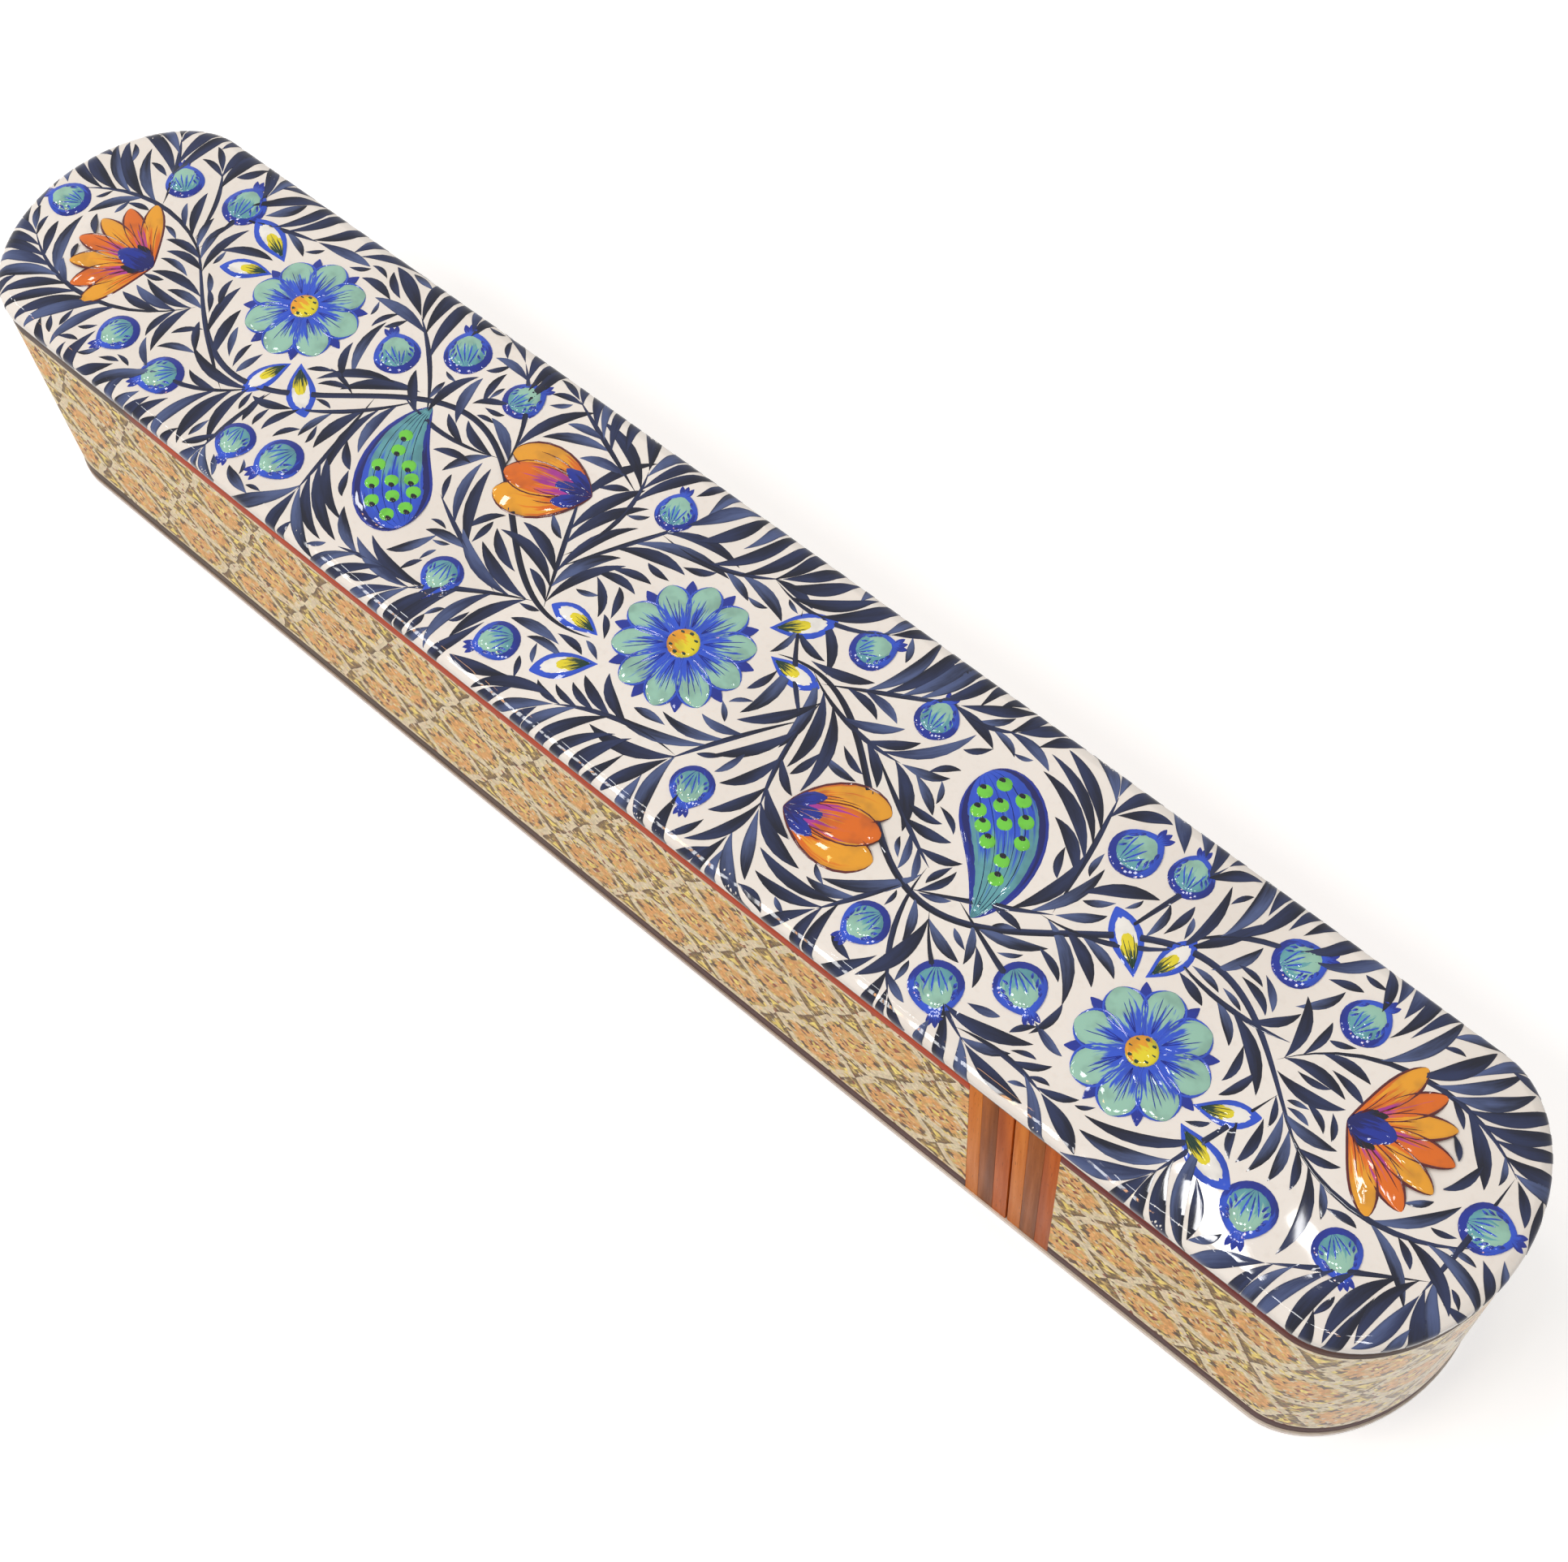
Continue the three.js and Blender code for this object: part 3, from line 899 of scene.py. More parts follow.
# %% Plain wood
def plain_wood(name, light, deep, ring_scale, shift, **gloss):
    finish = Finish(name)
    place = finish.shifted(finish.place(), shift)
    x, y, z = finish.parts(place)
    warp = finish.noise(place, (9.0, 60.0, 60.0))
    phase = (y * 0.95 + z * 0.3 + x * 0.02) * ring_scale + warp * 9.0
    rings = phase.sine() + (phase * 2.3 + 1.0).sine() * 0.4
    fibres = finish.noise(place, (60.0, 2200.0, 2200.0), 4.0, 0.6)
    pores = finish.noise(place, (260.0, 5200.0, 5200.0), 1.0)
    depth = rings.ramp(-0.6, 1.0) * 0.7 + fibres.ramp(0.3, 0.75) * 0.3
    tone = finish.mix(depth, dye(*light), dye(*deep))
    tone = finish.mix(pores.ramp(0.63, 0.75) * 0.6, tone, dye(74, 44, 24))
    grain = finish.relief(fibres - pores * 0.5, 0.06 * MM, 0.5)
    return finish.dress(Base_Color=tone, Roughness=fibres.ramp(0.2, 0.8, 0.45, 0.62), Normal=grain, **gloss)


carcass_wood = plain_wood("carcass_wood", (182, 128, 80), (140, 92, 54), 900.0, (0.0, 0.0, 0.0))
for node in ("sheath_wall", "drawer_front", "top_board", "base_board"):
    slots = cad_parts[node].data.materials
    slots.clear()
    slots.append(carcass_wood)

# %% [markdown]
# ## The tray
# The tray's boards are the case's outline drawn in and cut along straight lines, with every sharp
# edge eased. The velvet on its floor is the same shape with a nap that turns this way and that.

# %% Tray boards
TRAY_INSET = 5.5 * MM
BOARD_EASE, VELVET_EASE = 0.3 * MM, 0.25 * MM
VARNISH = {"Coat_Weight": 0.5, "Coat_Roughness": 0.15}


def plan_board(node, ease):
    """The drawn-in outline cut to a node's box and raised to its height."""
    low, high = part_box(node)
    shape = plan_face(TRAY_INSET, low[2])
    cut_off(shape, (low[0], 0, 0), (-1, 0, 0))
    cut_off(shape, (0, low[1], 0), (0, -1, 0))
    cut_off(shape, (0, high[1], 0), (0, 1, 0))
    if high[0] < 0:
        cut_off(shape, (high[0], 0, 0), (1, 0, 0))
    raise_face(shape, high[2] - low[2])
    soften(shape, sharp_edges(shape), ease, 3)
    return shape


tray_wood = plain_wood("tray_wood", (212, 166, 110), (176, 126, 76), 1300.0, (0.02, 0.013, 0.01), **VARNISH)
for node in ("tray_floor", "tray_left_side", "tray_right_side", "tray_back"):
    settle(plan_board(node, BOARD_EASE), f"{node}_board", "drawer", tray_wood, node)

# %% Velvet
velvet = Finish("velvet")
nap = velvet.noise(velvet.place(), (90.0, 160.0, 160.0), 3.0)
pile = velvet.noise(velvet.place(), 3200.0, 2.0)
velvet_tone = velvet.mix(nap.ramp(0.35, 0.68), dye(96, 14, 28), dye(132, 26, 42))
velvet.dress(
    Base_Color=velvet.mix(pile.ramp(0.4, 0.8) * 0.5, velvet_tone, dye(58, 6, 16)),
    Roughness=0.95,
    Sheen_Weight=0.6,
    Sheen_Roughness=0.4,
    Normal=velvet.relief(pile + nap, 0.3 * MM, 0.6),
)
lining = plan_board("tray_lining", VELVET_EASE)
settle(lining, "velvet_lining", "drawer", velvet.material, "tray_lining")

# %% [markdown]
# ## The surface that the paint lies on
# The top plate is painted all over, out over its rim and down to the wood. So the painting is made
# flat, in millimetres, and laid over the plate at the end: past the rim's start it follows the
# rim's arcs and then the plate's side. Under the flowers the enamel stands in low mounds, and each
# mound mirrors the lamps as a cluster of bright dots.

# %% Flat sizes of the plate in millimetres
HALF_LENGTH = CASE_LENGTH / 2 / MM
HALF_WIDTH = END_WIDTH / 2 / MM
SWELL = SIDE_SWELL / MM
DEPTH = END_DEPTH / MM
ROUND_FROM = HALF_LENGTH - DEPTH
PAST_EDGE = RIM_WAY - RIM_OUT + 0.6
mounds = []


def to_edge(x, y):
    """How far places are inside the plate's edge, in millimetres, and the way out to it."""
    x, y = np.asarray(x, float), np.asarray(y, float)
    wide = HALF_WIDTH + SWELL * (1 - (x / HALF_LENGTH) ** 2)
    long_share, wide_share = np.maximum(np.abs(x) - ROUND_FROM, 0) / DEPTH, np.abs(y) / wide
    share = np.maximum((long_share**END_POWER + wide_share**END_POWER) ** (1 / END_POWER), 1e-6)
    out_x = np.sign(x) * (long_share / share) ** (END_POWER - 1) / DEPTH
    out_y = np.sign(y) * (wide_share / share) ** (END_POWER - 1) / wide
    steep = np.maximum(np.hypot(out_x, out_y), 1e-9)
    return (1 - share) / steep, out_x / steep, out_y / steep


def mound_height(x, y):
    height = np.zeros_like(x)
    for mid_x, mid_y, long, wide, heading, tall, power in mounds:
        along = (x - mid_x) * cos(heading) + (y - mid_y) * sin(heading)
        across = (y - mid_y) * cos(heading) - (x - mid_x) * sin(heading)
        reach = np.minimum(np.hypot(along / long, across / wide), 1.0)
        height = np.maximum(height, tall * (1 - reach**power))
    return height


def laid_on_plate(flat):
    """Takes flat places (along, across, height over the paint's ground) to places on the plate."""
    x, y, lift = flat.T
    inside, out_x, out_y = to_edge(x, y)
    lift = lift + mound_height(x, y)
    way = RIM_OUT - inside
    out, drop, tilt = (np.interp(way, RIM_ROWS[:, 0], RIM_ROWS[:, k]) for k in (1, 2, 3))
    drop += np.clip(way - RIM_WAY, 0, 0.7)
    shift = np.where(way > 0, out - way + lift * np.sin(tilt), 0.0)
    return np.c_[x + out_x * shift, y + out_y * shift, CASE_TOP / MM + lift * np.cos(tilt) - drop] * MM


# %% Lines that strokes follow
def ahead(place, heading, distance):
    """The place at a distance from another one, in a direction."""
    return place[0] + distance * cos(heading), place[1] + distance * sin(heading)


def aside(spot, out):
    """The place beside a spot of a line, which is two coordinates and the line's direction there."""
    x, y, turned = spot
    return x - sin(turned) * out, y + cos(turned) * out


def arc(start, heading, length, bend=0.0):
    """A line that starts at a place with a heading and turns steadily by its bend."""

    def follow(share):
        turned = heading + bend * share
        if abs(bend) < 1e-3:
            return (*ahead(start, heading, length * share), turned)
        x = start[0] + length / bend * (sin(turned) - sin(heading))
        return x, start[1] - length / bend * (cos(turned) - cos(heading)), turned

    return follow


def swoop(start, heading, length, bend, hook):
    """A line that turns ever faster towards its end, as a leaf does that hangs over."""
    ahead_x, ahead_y = cos(heading), sin(heading)

    def follow(share):
        out = bend / 2 * share**2 + hook * share**5
        turned = heading + math.atan(bend * share + 5 * hook * share**4)
        x = start[0] + length * (share * ahead_x - out * ahead_y)
        return x, start[1] + length * (share * ahead_y + out * ahead_x), turned

    return follow


def beside(line, body, side, width):
    """The line along one edge of a stroke, for its outline."""

    def edge(share):
        return aside(line(share), side * width * body(share))

    def follow(share):
        (x, y), (next_x, next_y) = edge(share), edge(min(1.0, share + 0.02))
        return x, y, atan2(next_y - y, next_x - x) if share < 0.98 else line(share)[2]

    return follow


# %% [markdown]
# ## Bodies of strokes
# A body says how wide a stroke is on its way from 0 to 1. A leaf is widest before its middle, a
# petal near its end, and a line has the same width nearly all the way.


# %% Bodies
def body_of(start_power, width_power):
    def body(share):
        return sin(pi * share**start_power) ** width_power if 0 < share < 1 else 0.0

    return body


leaf_body = body_of(1.25, 0.85)
petal_body = body_of(1.5, 0.6)
bulb_body = body_of(0.85, 0.6)
drop_body = body_of(1.0, 0.5)
boteh_body = body_of(0.62, 0.75)


def line_body(share):
    return min(1.0, 7 * share, 5 * (1 - share)) ** 0.6 if 0 < share < 1 else 0.0


# %% [markdown]
# ## The brush
# Every stroke is a small ball of its own, drawn out along its line and pressed flat, so it is a
# closed mesh. It keeps its two dyes and a map of its length and width for the finish. Strokes are
# gathered on small sheets first, because adding to a big bmesh gets slow.

# %% The brush
SUNK = -0.25
SHEET_STROKES = 40
SHEETS_PER_PIECE = 14
BRUSH_ANGLE = 50.0


class Brush:
    """The strokes of one painted piece, made flat and laid over the plate when it is done."""

    def __init__(self, name, seed):
        self.name = name
        self.sheets = []
        self.chance = random.Random(seed)
        self.start_sheet()

    def start_sheet(self):
        self.shape = bmesh.new()
        self.root = self.shape.loops.layers.float_color.new("root_dye")
        self.tip = self.shape.loops.layers.float_color.new("tip_dye")
        self.map = self.shape.loops.layers.uv.new("Brush")
        self.count = 0

    def end_sheet(self):
        self.sheets.append(bpy.data.meshes.new("strokes"))
        self.shape.to_mesh(self.sheets[-1])
        self.shape.free()

    def stroke(self, line, width, body, root, tip, rise, sides, rings, until=1.0, ground=0.0):
        """Lays one stroke; width is half its width, rise its crown, ground its edge's height."""
        made = bmesh.ops.create_uvsphere(self.shape, u_segments=sides, v_segments=rings, radius=1.0)
        shares = {}
        for vert in made["verts"]:
            around = hypot(vert.co.x, vert.co.y)
            share = min(1.0, max(0.0, (1 - vert.co.z) / 2)) * until
            across, up = (vert.co.x / around, vert.co.y / around) if around > 1e-4 else (0.0, 0.0)
            half = body(share)
            if up > 0.01:
                lift = ground + rise * up * min(1.0, half * 1.6)
            else:
                lift = SUNK if up < -0.01 else ground - 0.005
            vert.co = (*aside(line(share), across * width * half), lift)
            shares[vert] = (share, across * 0.5 + 0.5)
        load = self.chance.random()
        for face in {face for vert in made["verts"] for face in vert.link_faces}:
            for loop in face.loops:
                loop[self.root] = (*root[:3], load)
                loop[self.tip] = (*tip[:3], 1.0)
                loop[self.map].uv = shares[loop.vert]
        self.count += 1
        if self.count == SHEET_STROKES:
            self.end_sheet()
            self.start_sheet()

    def outline(self, line, width, body, colour, thickness, rise, rings=14):
        for side in (1, -1):
            edge = beside(line, body, side, width)
            self.stroke(edge, thickness, line_body, colour, colour, rise, 4, rings)

    def dot(self, place, radius, root, tip, rise, sides, rings):
        line = arc((place[0] - radius, place[1]), 0.0, radius * 2)
        self.stroke(line, radius, drop_body, root, tip, rise, sides, rings)

    def done(self, material):
        """Lays the sheets over the plate, a few of them to a piece."""
        self.end_sheet()
        for number, start in enumerate(range(0, len(self.sheets), SHEETS_PER_PIECE)):
            whole = bmesh.new()
            for sheet in self.sheets[start : start + SHEETS_PER_PIECE]:
                whole.from_mesh(sheet)
                bpy.data.meshes.remove(sheet)
            flat = np.array([vert.co for vert in whole.verts])
            for vert, place in zip(whole.verts, laid_on_plate(flat)):
                vert.co = place
            bmesh.ops.recalc_face_normals(whole, faces=whole.faces[:])
            name = f"{self.name}_{number}"
            settle(whole, name, "sheath", material, soft_angle=BRUSH_ANGLE)


# %% Paints
INDIGO = dye(36, 47, 86)
INDIGO_DEEP = dye(10, 13, 36)
INDIGO_WASH = dye(78, 93, 137)
COBALT = dye(46, 84, 206)
COBALT_DEEP = dye(26, 46, 150)
CELADON = dye(150, 196, 176)
CELADON_DEEP = dye(96, 160, 168)
YELLOW = dye(228, 212, 40)
BOTTLE = dye(24, 60, 46)
ORANGE = dye(222, 108, 16)
AMBER = dye(232, 160, 36)
MAGENTA = dye(172, 52, 150)
NAVY = dye(20, 26, 104)
MAROON = dye(92, 22, 26)
MEADOW = dye(112, 206, 66)
INK = dye(18, 18, 26)
PEARL = dye(238, 236, 230)


def paint_finish(name, low, high, pooled, relief, hair_scale, hair_share, side_share=0.0):
    """A paint whose dyes pass from root to tip in hairs of the brush, darker where it pools."""
    finish = Finish(name)
    brush_map = finish.surface_map("Brush")
    share, across, _ = finish.parts(brush_map)
    load = finish.attribute("root_dye", "Alpha")
    strands = finish.shifted(finish.stretched(brush_map, hair_scale), load * 60.0)
    hairs = finish.noise(strands, 1.0, 3.0, 0.65)
    water = finish.noise(finish.place(), 380.0, 2.0)
    flow = share + (hairs - 0.5) * hair_share + (across - 0.5) * (load - 0.5) * side_share
    tone = finish.mix(flow.ramp(low, high), finish.attribute("root_dye"), finish.attribute("tip_dye"))
    tone = finish.mix(water.ramp(0.45, 0.75) * 0.25, tone, dye(20, 24, 44))
    tone = finish.mix(abs(across - 0.5).ramp(0.3, 0.5) * pooled, tone, dye(16, 20, 40))
    return finish.dress(
        Base_Color=tone,
        Roughness=hairs.ramp(0.2, 0.8, 0.02, 0.045),
        IOR=1.45,
        Normal=lacquer_relief(finish, hairs, relief),
    )


leaf_paint = paint_finish("leaf_paint", 0.1, 1.0, 0.45, 0.001 * MM, (1.6, 2.2, 1.0), 1.1, 1.8)
enamel_paint = paint_finish("enamel_paint", 0.36, 0.56, 0.15, 0.0015 * MM, (1.5, 9.0, 1.0), 1.7)

# %% [markdown]
# ## Keeping the strokes apart
# Painters leave an even, narrow space between leaves. A coarse map of the plate remembers what is
# painted. A leaf is laid at its full length if its line is free, or else as long as there is room.

# %% Map of the painted places
CELL = 0.25
MARGIN = 2.5
GAP = 0.14
CLEAR_FROM = 0.38
COLUMNS, LANES = (int(2 * (half + MARGIN) / CELL) + 1 for half in (HALF_LENGTH, HALF_WIDTH + SWELL))
painted = np.zeros((COLUMNS, LANES), bool)
map_x = (np.arange(COLUMNS) + 0.5) * CELL - HALF_LENGTH - MARGIN
map_y = (np.arange(LANES) + 0.5) * CELL - HALF_WIDTH - SWELL - MARGIN
off_plate = to_edge(map_x[:, None], map_y[None, :])[0] < -0.4


def cell_of(x, y):
    return int((x + HALF_LENGTH + MARGIN) / CELL), int((y + HALF_WIDTH + SWELL + MARGIN) / CELL)


def cells_near(x, y, radius):
    reach = round(radius / CELL)
    return tuple(slice(max(0, n - reach), max(0, n + reach + 1)) for n in cell_of(x, y))


def is_free(x, y, radius):
    return not painted[cells_near(x, y, radius)].any()


def claim(line, width, body=leaf_body, until=1.0):
    for step in range(31):
        share = step / 30 * until
        x, y, _ = line(share)
        radius = width * max(0.25, body(share)) - 0.15
        if radius > 0.4:
            claim_disc(x, y, radius)
        else:
            painted[cells_near(x, y, radius)] = True


def claim_disc(x, y, radius):
    for dx in np.arange(-radius, radius + CELL, CELL):
        for dy in np.arange(-radius, radius + CELL, CELL):
            if dx * dx + dy * dy <= radius * radius:
                painted[cells_near(x + dx, y + dy, 0)] = True


def clear(blade, width):
    """Whether a blade has a gap round it once it is a little way off its twig."""
    for k in range(9):
        share = CLEAR_FROM + (1 - CLEAR_FROM) * k / 8
        for out in (-1.0, -0.5, 0.0, 0.5, 1.0):
            if not is_free(*aside(blade(share), (width * leaf_body(share) + GAP) * out), 0):
                return False
    return True


def leaves_plate(line):
    """The share of a line at which it runs off the painted side of the plate."""
    shares = np.linspace(0, 1, 25)
    spots = np.array([line(share)[:2] for share in shares])
    off = to_edge(*spots.T)[0] < -PAST_EDGE
    return float(shares[off.argmax()]) if off.any() else 1.0


# %% [markdown]
# ## Flowers
# Every flower lies on its own mound. Petals are drops of enamel with a fine outline and a few
# streaks that start at the root.

# %% Petals and rosettes
enamel = Brush("enamel_flowers", 21)
fine_lines = Brush("fine_lines", 22)
ROSETTE_DYES = (COBALT, CELADON, COBALT, COBALT_DEEP)


def petal(start, heading, length, width, dyes, bend=0.0, rise=0.07, streaks=3):
    """A drop of enamel; its dyes are those of its root, its tip, its outline and its streaks."""
    root, tip, edge, streak = dyes
    line = arc(start, heading, length, bend)
    claim(line, width + 0.2, petal_body)
    enamel.stroke(line, width, petal_body, root, tip, rise, 12, 12)
    fine_lines.outline(line, width, petal_body, edge, 0.19, rise * 0.6 + 0.05)
    for k in range(streaks):
        lean = (k - (streaks - 1) / 2) * 0.2
        reach = length * fine_lines.chance.uniform(0.4, 0.75)
        mark = arc(line(0.12)[:2], heading + lean, reach, bend - lean * 0.5)
        fine_lines.stroke(mark, 0.16, line_body, streak, streak, rise + 0.04, 4, 8)


def rosette(x, y, radius, turn, petals):
    """A ring of petals over a ring of points, with dots round its yellow heart."""
    claim_disc(x, y, radius + 0.3)
    mounds.append((x, y, radius * 1.02, radius * 1.02, 0.0, 0.62, 2.6))
    enamel.dot((x, y), radius * 0.8, COBALT_DEEP, COBALT, 0.02, 24, 14)
    width = radius * 0.84 * math.tan(pi / petals) * 0.86
    for k in range(petals):
        heading = turn + tau * (k + 0.5) / petals
        point = arc(ahead((x, y), heading, radius * 0.35), heading, radius * 0.7)
        fine_lines.stroke(point, radius * 0.12, leaf_body, COBALT, COBALT_DEEP, 0.04, 6, 8)
    for k in range(petals):
        heading = turn + tau * k / petals
        petal(ahead((x, y), heading, radius * 0.16), heading, radius * 0.84, width, ROSETTE_DYES)
    enamel.dot((x, y), radius * 0.24, AMBER, YELLOW, 0.3, 16, 10)
    for k in range(8):
        place = ahead((x, y), turn + tau * k / 8, radius * 0.17)
        fine_lines.dot(place, radius * 0.032 + 0.06, BOTTLE, BOTTLE, 0.32, 6, 4)


# %% Buds and bright leaves
def crowned_bud(x, y, size, heading):
    """A round bud with a little crown, its streaks rising from the stem."""
    chance = fine_lines.chance
    middle, low, neck, crown = (ahead((x, y), heading, size * share) for share in (0.5, 0.14, 0.1, 0.86))
    claim_disc(*middle, size * 0.55)
    mounds.append((*middle, size * 0.54, size * 0.5, heading, 0.62, 2))
    enamel.stroke(arc((x, y), heading, size), size * 0.47, bulb_body, COBALT_DEEP, COBALT, 0.02, 16, 14)
    inner = arc(low, heading, size * 0.74)
    enamel.stroke(inner, size * 0.36, bulb_body, CELADON_DEEP, CELADON, 0.06, 14, 12)
    for k in range(8):
        side = 1 if k % 2 else -1
        share = 0.2 + 0.15 * (k // 2) + chance.uniform(-0.03, 0.03)
        root = aside(inner(share), size * 0.35 * bulb_body(share) * side)
        hatch = arc(root, heading - side * 0.7, size * chance.uniform(0.14, 0.24), side * 0.5)
        fine_lines.stroke(hatch, size * 0.045, leaf_body, COBALT, COBALT_DEEP, 0.085, 4, 6)
    for lean in (-0.55, -0.2, 0.16, 0.5):
        mark = arc(neck, heading + lean, size * chance.uniform(0.42, 0.66), -lean * 0.5)
        fine_lines.stroke(mark, size * 0.04, leaf_body, COBALT_DEEP, COBALT, 0.09, 4, 8)
    for lean in (-0.5, 0.0, 0.5):
        tooth = arc(crown, heading + lean, size * 0.34, -lean * 0.4)
        fine_lines.stroke(tooth, size * 0.07, leaf_body, COBALT, COBALT_DEEP, 0.04, 6, 8)


def bright_leaf(x, y, size, heading, bend=0.3):
    """A pale leaf with a cobalt border and a yellow heart."""
    line = arc((x, y), heading, size, bend)
    claim(line, size * 0.24)
    mounds.append((*line(0.5)[:2], size * 0.46, size * 0.2, heading + bend * 0.5, 0.24, 2))
    for start, length, width, root, tip, rise, rings in (
        (0.0, 1.0, 0.23, COBALT, COBALT, 0.03, 14),
        (0.08, 0.8, 0.16, PEARL, PEARL, 0.05, 12),
        (0.1, 0.55, 0.12, BOTTLE, YELLOW, 0.07, 12),
    ):
        inner = arc(line(start)[:2], heading + bend * start, size * length, bend * length)
        enamel.stroke(inner, size * width, leaf_body, root, tip, rise, 10, rings)
    for lean in (-0.26, 0.0, 0.24):
        length = size * fine_lines.chance.uniform(0.4, 0.6)
        mark = arc(line(0.06)[:2], heading + lean, length, bend * 0.5 - lean)
        fine_lines.stroke(mark, 0.14, leaf_body, BOTTLE, BOTTLE, 0.1, 4, 8)


# %% Tulips and carnations
def tulip(x, y, size, heading):
    """A flower seen from the side: two outer petals, a middle one and a small cup."""
    start = (x, y)
    mounds.append((*ahead(start, heading, size * 0.52), size * 0.55, size * 0.4, heading, 0.6, 2.6))
    for side in (1, -1):
        outer = (start, heading + side * 0.62, size * 0.98, size * 0.2)
        petal(*outer, (ORANGE, AMBER, MAROON, MAROON), -side * 0.75)
    petal(start, heading, size * 0.92, size * 0.19, (MAGENTA, ORANGE, MAROON, AMBER), rise=0.12)
    for side in (1, 0, -1):
        cup = arc(start, heading + side * 0.75, size * 0.42, -side * 0.5)
        enamel.stroke(cup, size * 0.085, leaf_body, NAVY, COBALT_DEEP, 0.16, 8, 8)


def carnation(x, y, size, heading):
    """A fan of narrow petals over a navy cup."""
    start = (x, y)
    mounds.append((*ahead(start, heading, size * 0.62), size * 0.46, size * 0.54, heading, 0.6, 2.6))
    for k in range(7):
        lean = (k - 3) * 0.29
        root, tip = (MAGENTA, ORANGE) if k % 2 else (ORANGE, AMBER)
        length = size * (0.98 - 0.03 * abs(k - 3))
        dyes = (root, tip, MAROON, MAROON)
        petal(start, heading + lean, length, size * 0.12, dyes, lean * 0.35, 0.08, 2)
    cup = arc(start, heading, size * 0.46)
    enamel.stroke(cup, size * 0.15, bulb_body, NAVY, COBALT_DEEP, 0.22, 10, 8)
    for side in (1, -1):
        cup = arc(start, heading + side * 0.9, size * 0.4, -side * 0.9)
        fine_lines.stroke(cup, size * 0.06, leaf_body, NAVY, INK, 0.12, 6, 8)


# %% Botehs
SPOT_ROWS = (
    (0.12, (-0.3, 0.3)), (0.24, (-0.55, 0.0, 0.55)), (0.36, (-0.5, 0.0, 0.5)),
    (0.48, (-0.42, 0.42)), (0.6, (0.0,)), (0.72, (0.0,)),
)


def boteh(x, y, size, heading, bend):
    """The curled drop of old textiles, with spots in rows."""
    line = arc((x, y), heading, size, bend)
    width = size * 0.25
    claim(line, width * 1.1, boteh_body)
    for share in (0.2, 0.36, 0.52, 0.68, 0.84):
        mid_x, mid_y, turned = line(share)
        reach = width * 1.02 * boteh_body(share)
        mounds.append((mid_x, mid_y, reach, reach, turned, 0.45 - 0.2 * share, 4))
    enamel.stroke(line, width, boteh_body, NAVY, COBALT_DEEP, 0.03, 16, 24)
    enamel.stroke(line, width * 0.82, boteh_body, COBALT, CELADON_DEEP, 0.06, 16, 24)
    fine_lines.outline(line, width, boteh_body, COBALT_DEEP, 0.2, 0.07, 24)
    for lean in (-0.6, -0.3, 0.0, 0.3, 0.6):
        colour = NAVY if lean else COBALT_DEEP
        fine_lines.outline(line, width * 0.8 * abs(lean), boteh_body, colour, 0.1, 0.09, 20)
    for share, row in SPOT_ROWS:
        for side in row:
            place = aside(line(share), width * boteh_body(share) * side)
            enamel.dot(place, size * 0.052, MEADOW, MEADOW, 0.13, 10, 7)
            dark = ahead(place, line(share)[2], -size * 0.03)
            fine_lines.dot(dark, size * 0.024, INK, INK, 0.17, 7, 5)


# %% [markdown]
# ## The layout
# The design is our own, in the manner of old garlands. One stem winds along the plate in even
# waves, a flower sits in each bay, and everything is turned by half a turn about the middle, so
# both halves match.

# %% Stems and flowers
WAVE = 62.0
SWING = 8.0
stems = Brush("garland_stems", 23)
leaves = Brush("garland_leaves", 24)
twigs = []


def garland(start, end):
    """The winding stem as a line to follow between two places along the plate."""

    def follow(share):
        x = start + (end - start) * share
        slope = SWING * tau / WAVE * cos(tau * x / WAVE)
        way = copysign(1.0, end - start)
        return x, SWING * sin(tau * x / WAVE), atan2(way * slope, way)

    return follow


BUDS = (
    (17.0, 12.5, 0.9), (32.0, 9.5, 1.7), (13.5, -11.5, -1.2), (44.0, -11.5, -1.9), (52.5, -12.5, -0.9),
    (59.5, -7.0, -0.6), (60.5, 10.5, 1.2), (69.5, 12.5, 1.8), (83.0, 12.0, 0.9), (94.5, 10.5, 1.3),
    (97.5, -10.0, -1.3), (106.5, -9.0, -0.7), (116.5, 1.0, 0.3),
)
MOTIFS = (
    (tulip, 25.0, -9.0, 14.0, 0.35),
    (boteh, 41.0, 10.5, 21.0, -0.35, -1.25),
    (rosette, 78.0, -6.2, 8.6, 0.2, 8),
    (carnation, 100.5, 2.5, 13.0, 0.25),
    (bright_leaf, 71.5, 0.6, 9.5, 2.3),
    (bright_leaf, 72.5, 1.5, 8.0, 1.2),
    (bright_leaf, 86.5, -10.0, 9.5, -0.45),
    (bright_leaf, 86.2, -7.4, 8.0, 0.35),
    (bright_leaf, 6.5, 9.0, 9.0, 0.65),
    (bright_leaf, 9.5, 6.0, 8.0, -0.1),
    *((crowned_bud, x, y, 6.7 + 0.6 * sin(x * 1.7), heading) for x, y, heading in BUDS),
)
HALVES = ((1, 0.0), (-1, pi))
STEM_START, STEM_MIDDLE, STEM_END = 10.0, 55.0, 100.0

rosette(0.0, 0.0, 9.4, 0.0, 10)
for turn, face in HALVES:
    for motif, x, y, size, heading, *more in MOTIFS:
        motif(turn * x, turn * y, size, face + heading, *more)
    stem = garland(turn * STEM_START, turn * STEM_END)
    stems.stroke(stem, 0.5, line_body, INDIGO_DEEP, INDIGO, 0.025, 6, 110)
    for start, end in ((STEM_START, STEM_MIDDLE), (STEM_MIDDLE, STEM_END)):
        claim(garland(turn * start, turn * end), 0.5, line_body)
    twigs.append(stem)

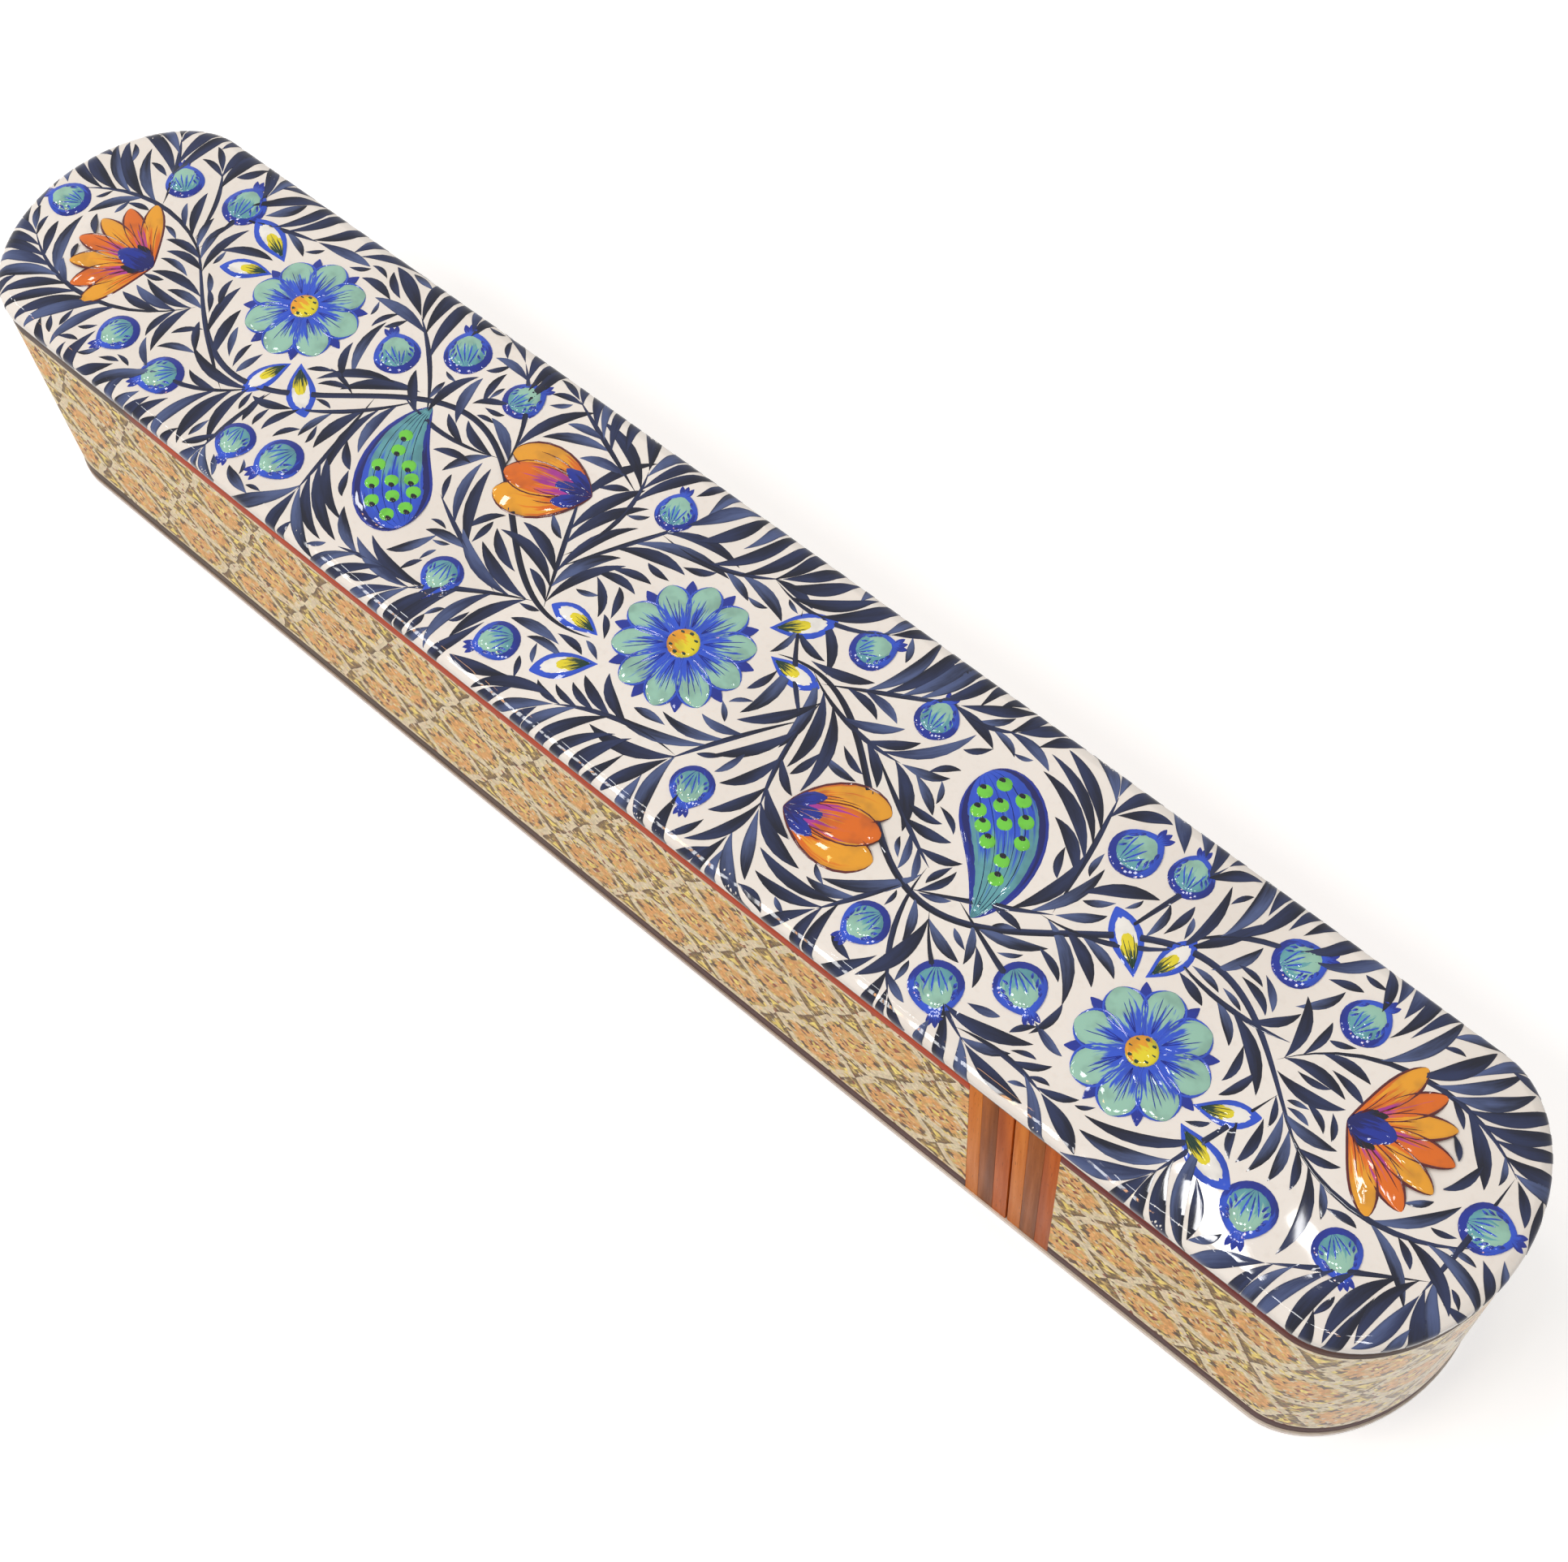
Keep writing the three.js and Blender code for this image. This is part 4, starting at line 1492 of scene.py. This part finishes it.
# %% [markdown]
# ## Sprays of leaves
# A spray is a curved twig with blades on both sides, drawn from its root to its tip. It grows out
# of a stem or an older twig, where of many chances it finds the most room. Then lone blades fill
# what is left, each as long as the gap that it lies in.


# %% One blade
LEAF_SHARES = (1.0, 0.87, 0.75, 0.64, 0.54, 0.45)
LEAF_INKS = (
    (0.25, INDIGO_WASH, INDIGO_DEEP), (0.65, INDIGO, INDIGO_DEEP),
    (0.9, INDIGO_DEEP, INDIGO), (1.0, INDIGO, INDIGO_WASH),
)


def apart(blade, neighbour):
    """Whether a blade keeps its outer half away from the blade before it on the same side."""
    if neighbour is None:
        return True
    for share in (0.55, 0.75, 0.95):
        x, y, _ = blade(share)
        spots = map(neighbour, (0.4, 0.55, 0.7, 0.85, 1.0))
        if min(hypot(x - a, y - b) for a, b, _ in spots) < 1.15 + 0.6 * share:
            return False
    return True


def leaf(start, heading, size, bend, chance, slim=0.125, smallest=3.0, together=None, neighbour=None):
    """One press of the brush, as long as the room allows; a spray's blades are claimed together."""
    hook = copysign(chance.uniform(0.02, 0.16), bend)
    for share in LEAF_SHARES:
        width = min(chance.uniform(0.82, 1.14), size * share * slim)
        blade = swoop(start, heading, size * share, bend * share, hook)
        fits = size * share > smallest and to_edge(*blade(0.5)[:2])[0] > -0.4
        if fits and clear(blade, width) and apart(blade, neighbour):
            break
    else:
        return 0
    shade = chance.random()
    inks = next(inks for most, *inks in LEAF_INKS if shade < most)
    until = leaves_plate(blade)
    near_rim = min(to_edge(*blade(share)[:2])[0] for share in (0.3, 0.6, 1.0)) < 2.2
    sides, rings, ground = (10, 26, 0.045) if near_rim else (6, 11, 0.014 + 0.01 * shade)
    leaves.stroke(blade, width, leaf_body, *inks, 0.006, sides, rings, until, ground)
    laid = (blade, width, leaf_body, until)
    if together is None:
        claim(*laid)
    else:
        together.append(laid)
    return 1


# %% One spray
BLADE_STEP = 2.2


def spray(start, heading, length, bend, size, chance):
    """A twig with blades on both sides, as many as find room."""
    twig = arc(start, heading, length, bend)
    laid, together, latest = 0, [], {1: None, -1: None}
    steps = max(2, round(length / BLADE_STEP))
    for k in range(steps):
        share = (k + 0.55) / steps
        x, y, turned = twig(share)
        reach = size * (0.74 + 0.3 * sin(pi * min(1.0, 0.1 + share * 0.8))) * chance.uniform(0.9, 1.1)
        for side in (1, -1):
            angle, curl = turned + side * chance.uniform(0.3, 0.46), side * chance.uniform(0.6, 0.95)
            if leaf((x, y), angle, reach, curl, chance, together=together, neighbour=latest[side]):
                laid += 1
                latest[side] = together[-1][0]
    *end, end_turn = twig(1.0)
    laid += leaf(end, end_turn, size * 0.85, bend * 0.4 + 0.01, chance, together=together)
    for blade in together:
        claim(*blade)
    if laid > 2:
        stems.stroke(twig, 0.42, leaf_body, INDIGO_DEEP, INDIGO, 0.03, 6, 16)
        claim(twig, 0.4)
        twigs.append(twig)
    return laid


# %% Growing the sprays
CHANCES = 70
FIRST_SPRAYS = ((93.5, -0.6, -0.75, 29, 1.5), (90.0, 2.9, 1.0, 33, -1.6))
SPRAY_ROUNDS = ((18, 11.4, 60, 0.56), (13, 10.8, 80, 0.5), (9, 9.6, 90, 0.45), (6, 8.0, 90, 0.42))


def room(start, heading, length, bend, reach):
    """The free share of the places that a spray would cover."""
    twig = arc(start, heading, length, bend)
    free = 0
    for share in (0.12, 0.32, 0.52, 0.72, 0.92, 1.15):
        for out in (-0.8, -0.5, -0.2, 0.2, 0.5, 0.8):
            column, lane = cell_of(*aside(twig(share), out * reach))
            if 0 <= column < COLUMNS and 0 <= lane < LANES:
                free += not (painted[column, lane] or off_plate[column, lane])
    return free / 36


def roomiest_spray(length, size, least, chance):
    """The best of many ways for a new spray to leave the twigs that are there."""
    best, found = least, None
    for _ in range(CHANCES):
        line = chance.choice(twigs) if chance.random() < 0.7 else twigs[chance.randrange(2)]
        x, y, turned = line(chance.uniform(0.05, 1.0))
        side = chance.choice((1, -1))
        heading, bend = turned + side * chance.uniform(0.5, 1.2), -side * chance.uniform(-0.3, 1.1)
        score = room((x, y), heading, length, bend, size * 0.62)
        if score > best:
            best, found = score, ((x, y), heading, length, bend, size)
    return found


grower = random.Random(7)
blades = 0
for turn, face in HALVES:
    for x, y, heading, length, bend in FIRST_SPRAYS:
        blades += spray((turn * x, turn * y), face + heading, length, bend, 9.6, grower)
for length, size, most, least in SPRAY_ROUNDS:
    for _ in range(most):
        found = roomiest_spray(length, size, least, grower)
        if found:
            blades += spray(*found, grower)
print("blades on sprays", blades)

# %% Lone blades in the room that is left
LONE_TRIES = 26000
WAYS = 12


def free_run(x, y, way, step, most, radius):
    """How far the plate is free from a place on, or back where the step is negative."""
    run = 0.0
    while abs(run) < most and is_free(x + run * cos(way), y + run * sin(way), radius):
        run += step
    return run


for _ in range(LONE_TRIES):
    x, y = grower.uniform(-HALF_LENGTH, HALF_LENGTH), grower.uniform(-HALF_WIDTH, HALF_WIDTH)
    if to_edge(x, y)[0] < 0.3 or not is_free(x, y, 0.4):
        continue
    first = grower.uniform(0, tau)
    ways = [first + tau * k / WAYS for k in range(WAYS)]
    runs = [free_run(x, y, way, 0.6, 9, 0.4) for way in ways]
    longest = max(runs)
    if longest > 1.8:
        way = ways[runs.index(longest)]
        back = free_run(x, y, way, -0.3, 3, 0.1)
        curl = grower.uniform(-0.9, 0.9) + 0.01
        blades += leaf(ahead((x, y), way, back), way, longest - back, curl, grower, 0.15, 2.3)
print("blades in all", blades, "painted share", round(float(painted[~off_plate].mean()), 3))

# %% Lay the painting over the plate
stems.done(leaf_paint)
leaves.done(leaf_paint)
enamel.done(enamel_paint)
fine_lines.done(enamel_paint)
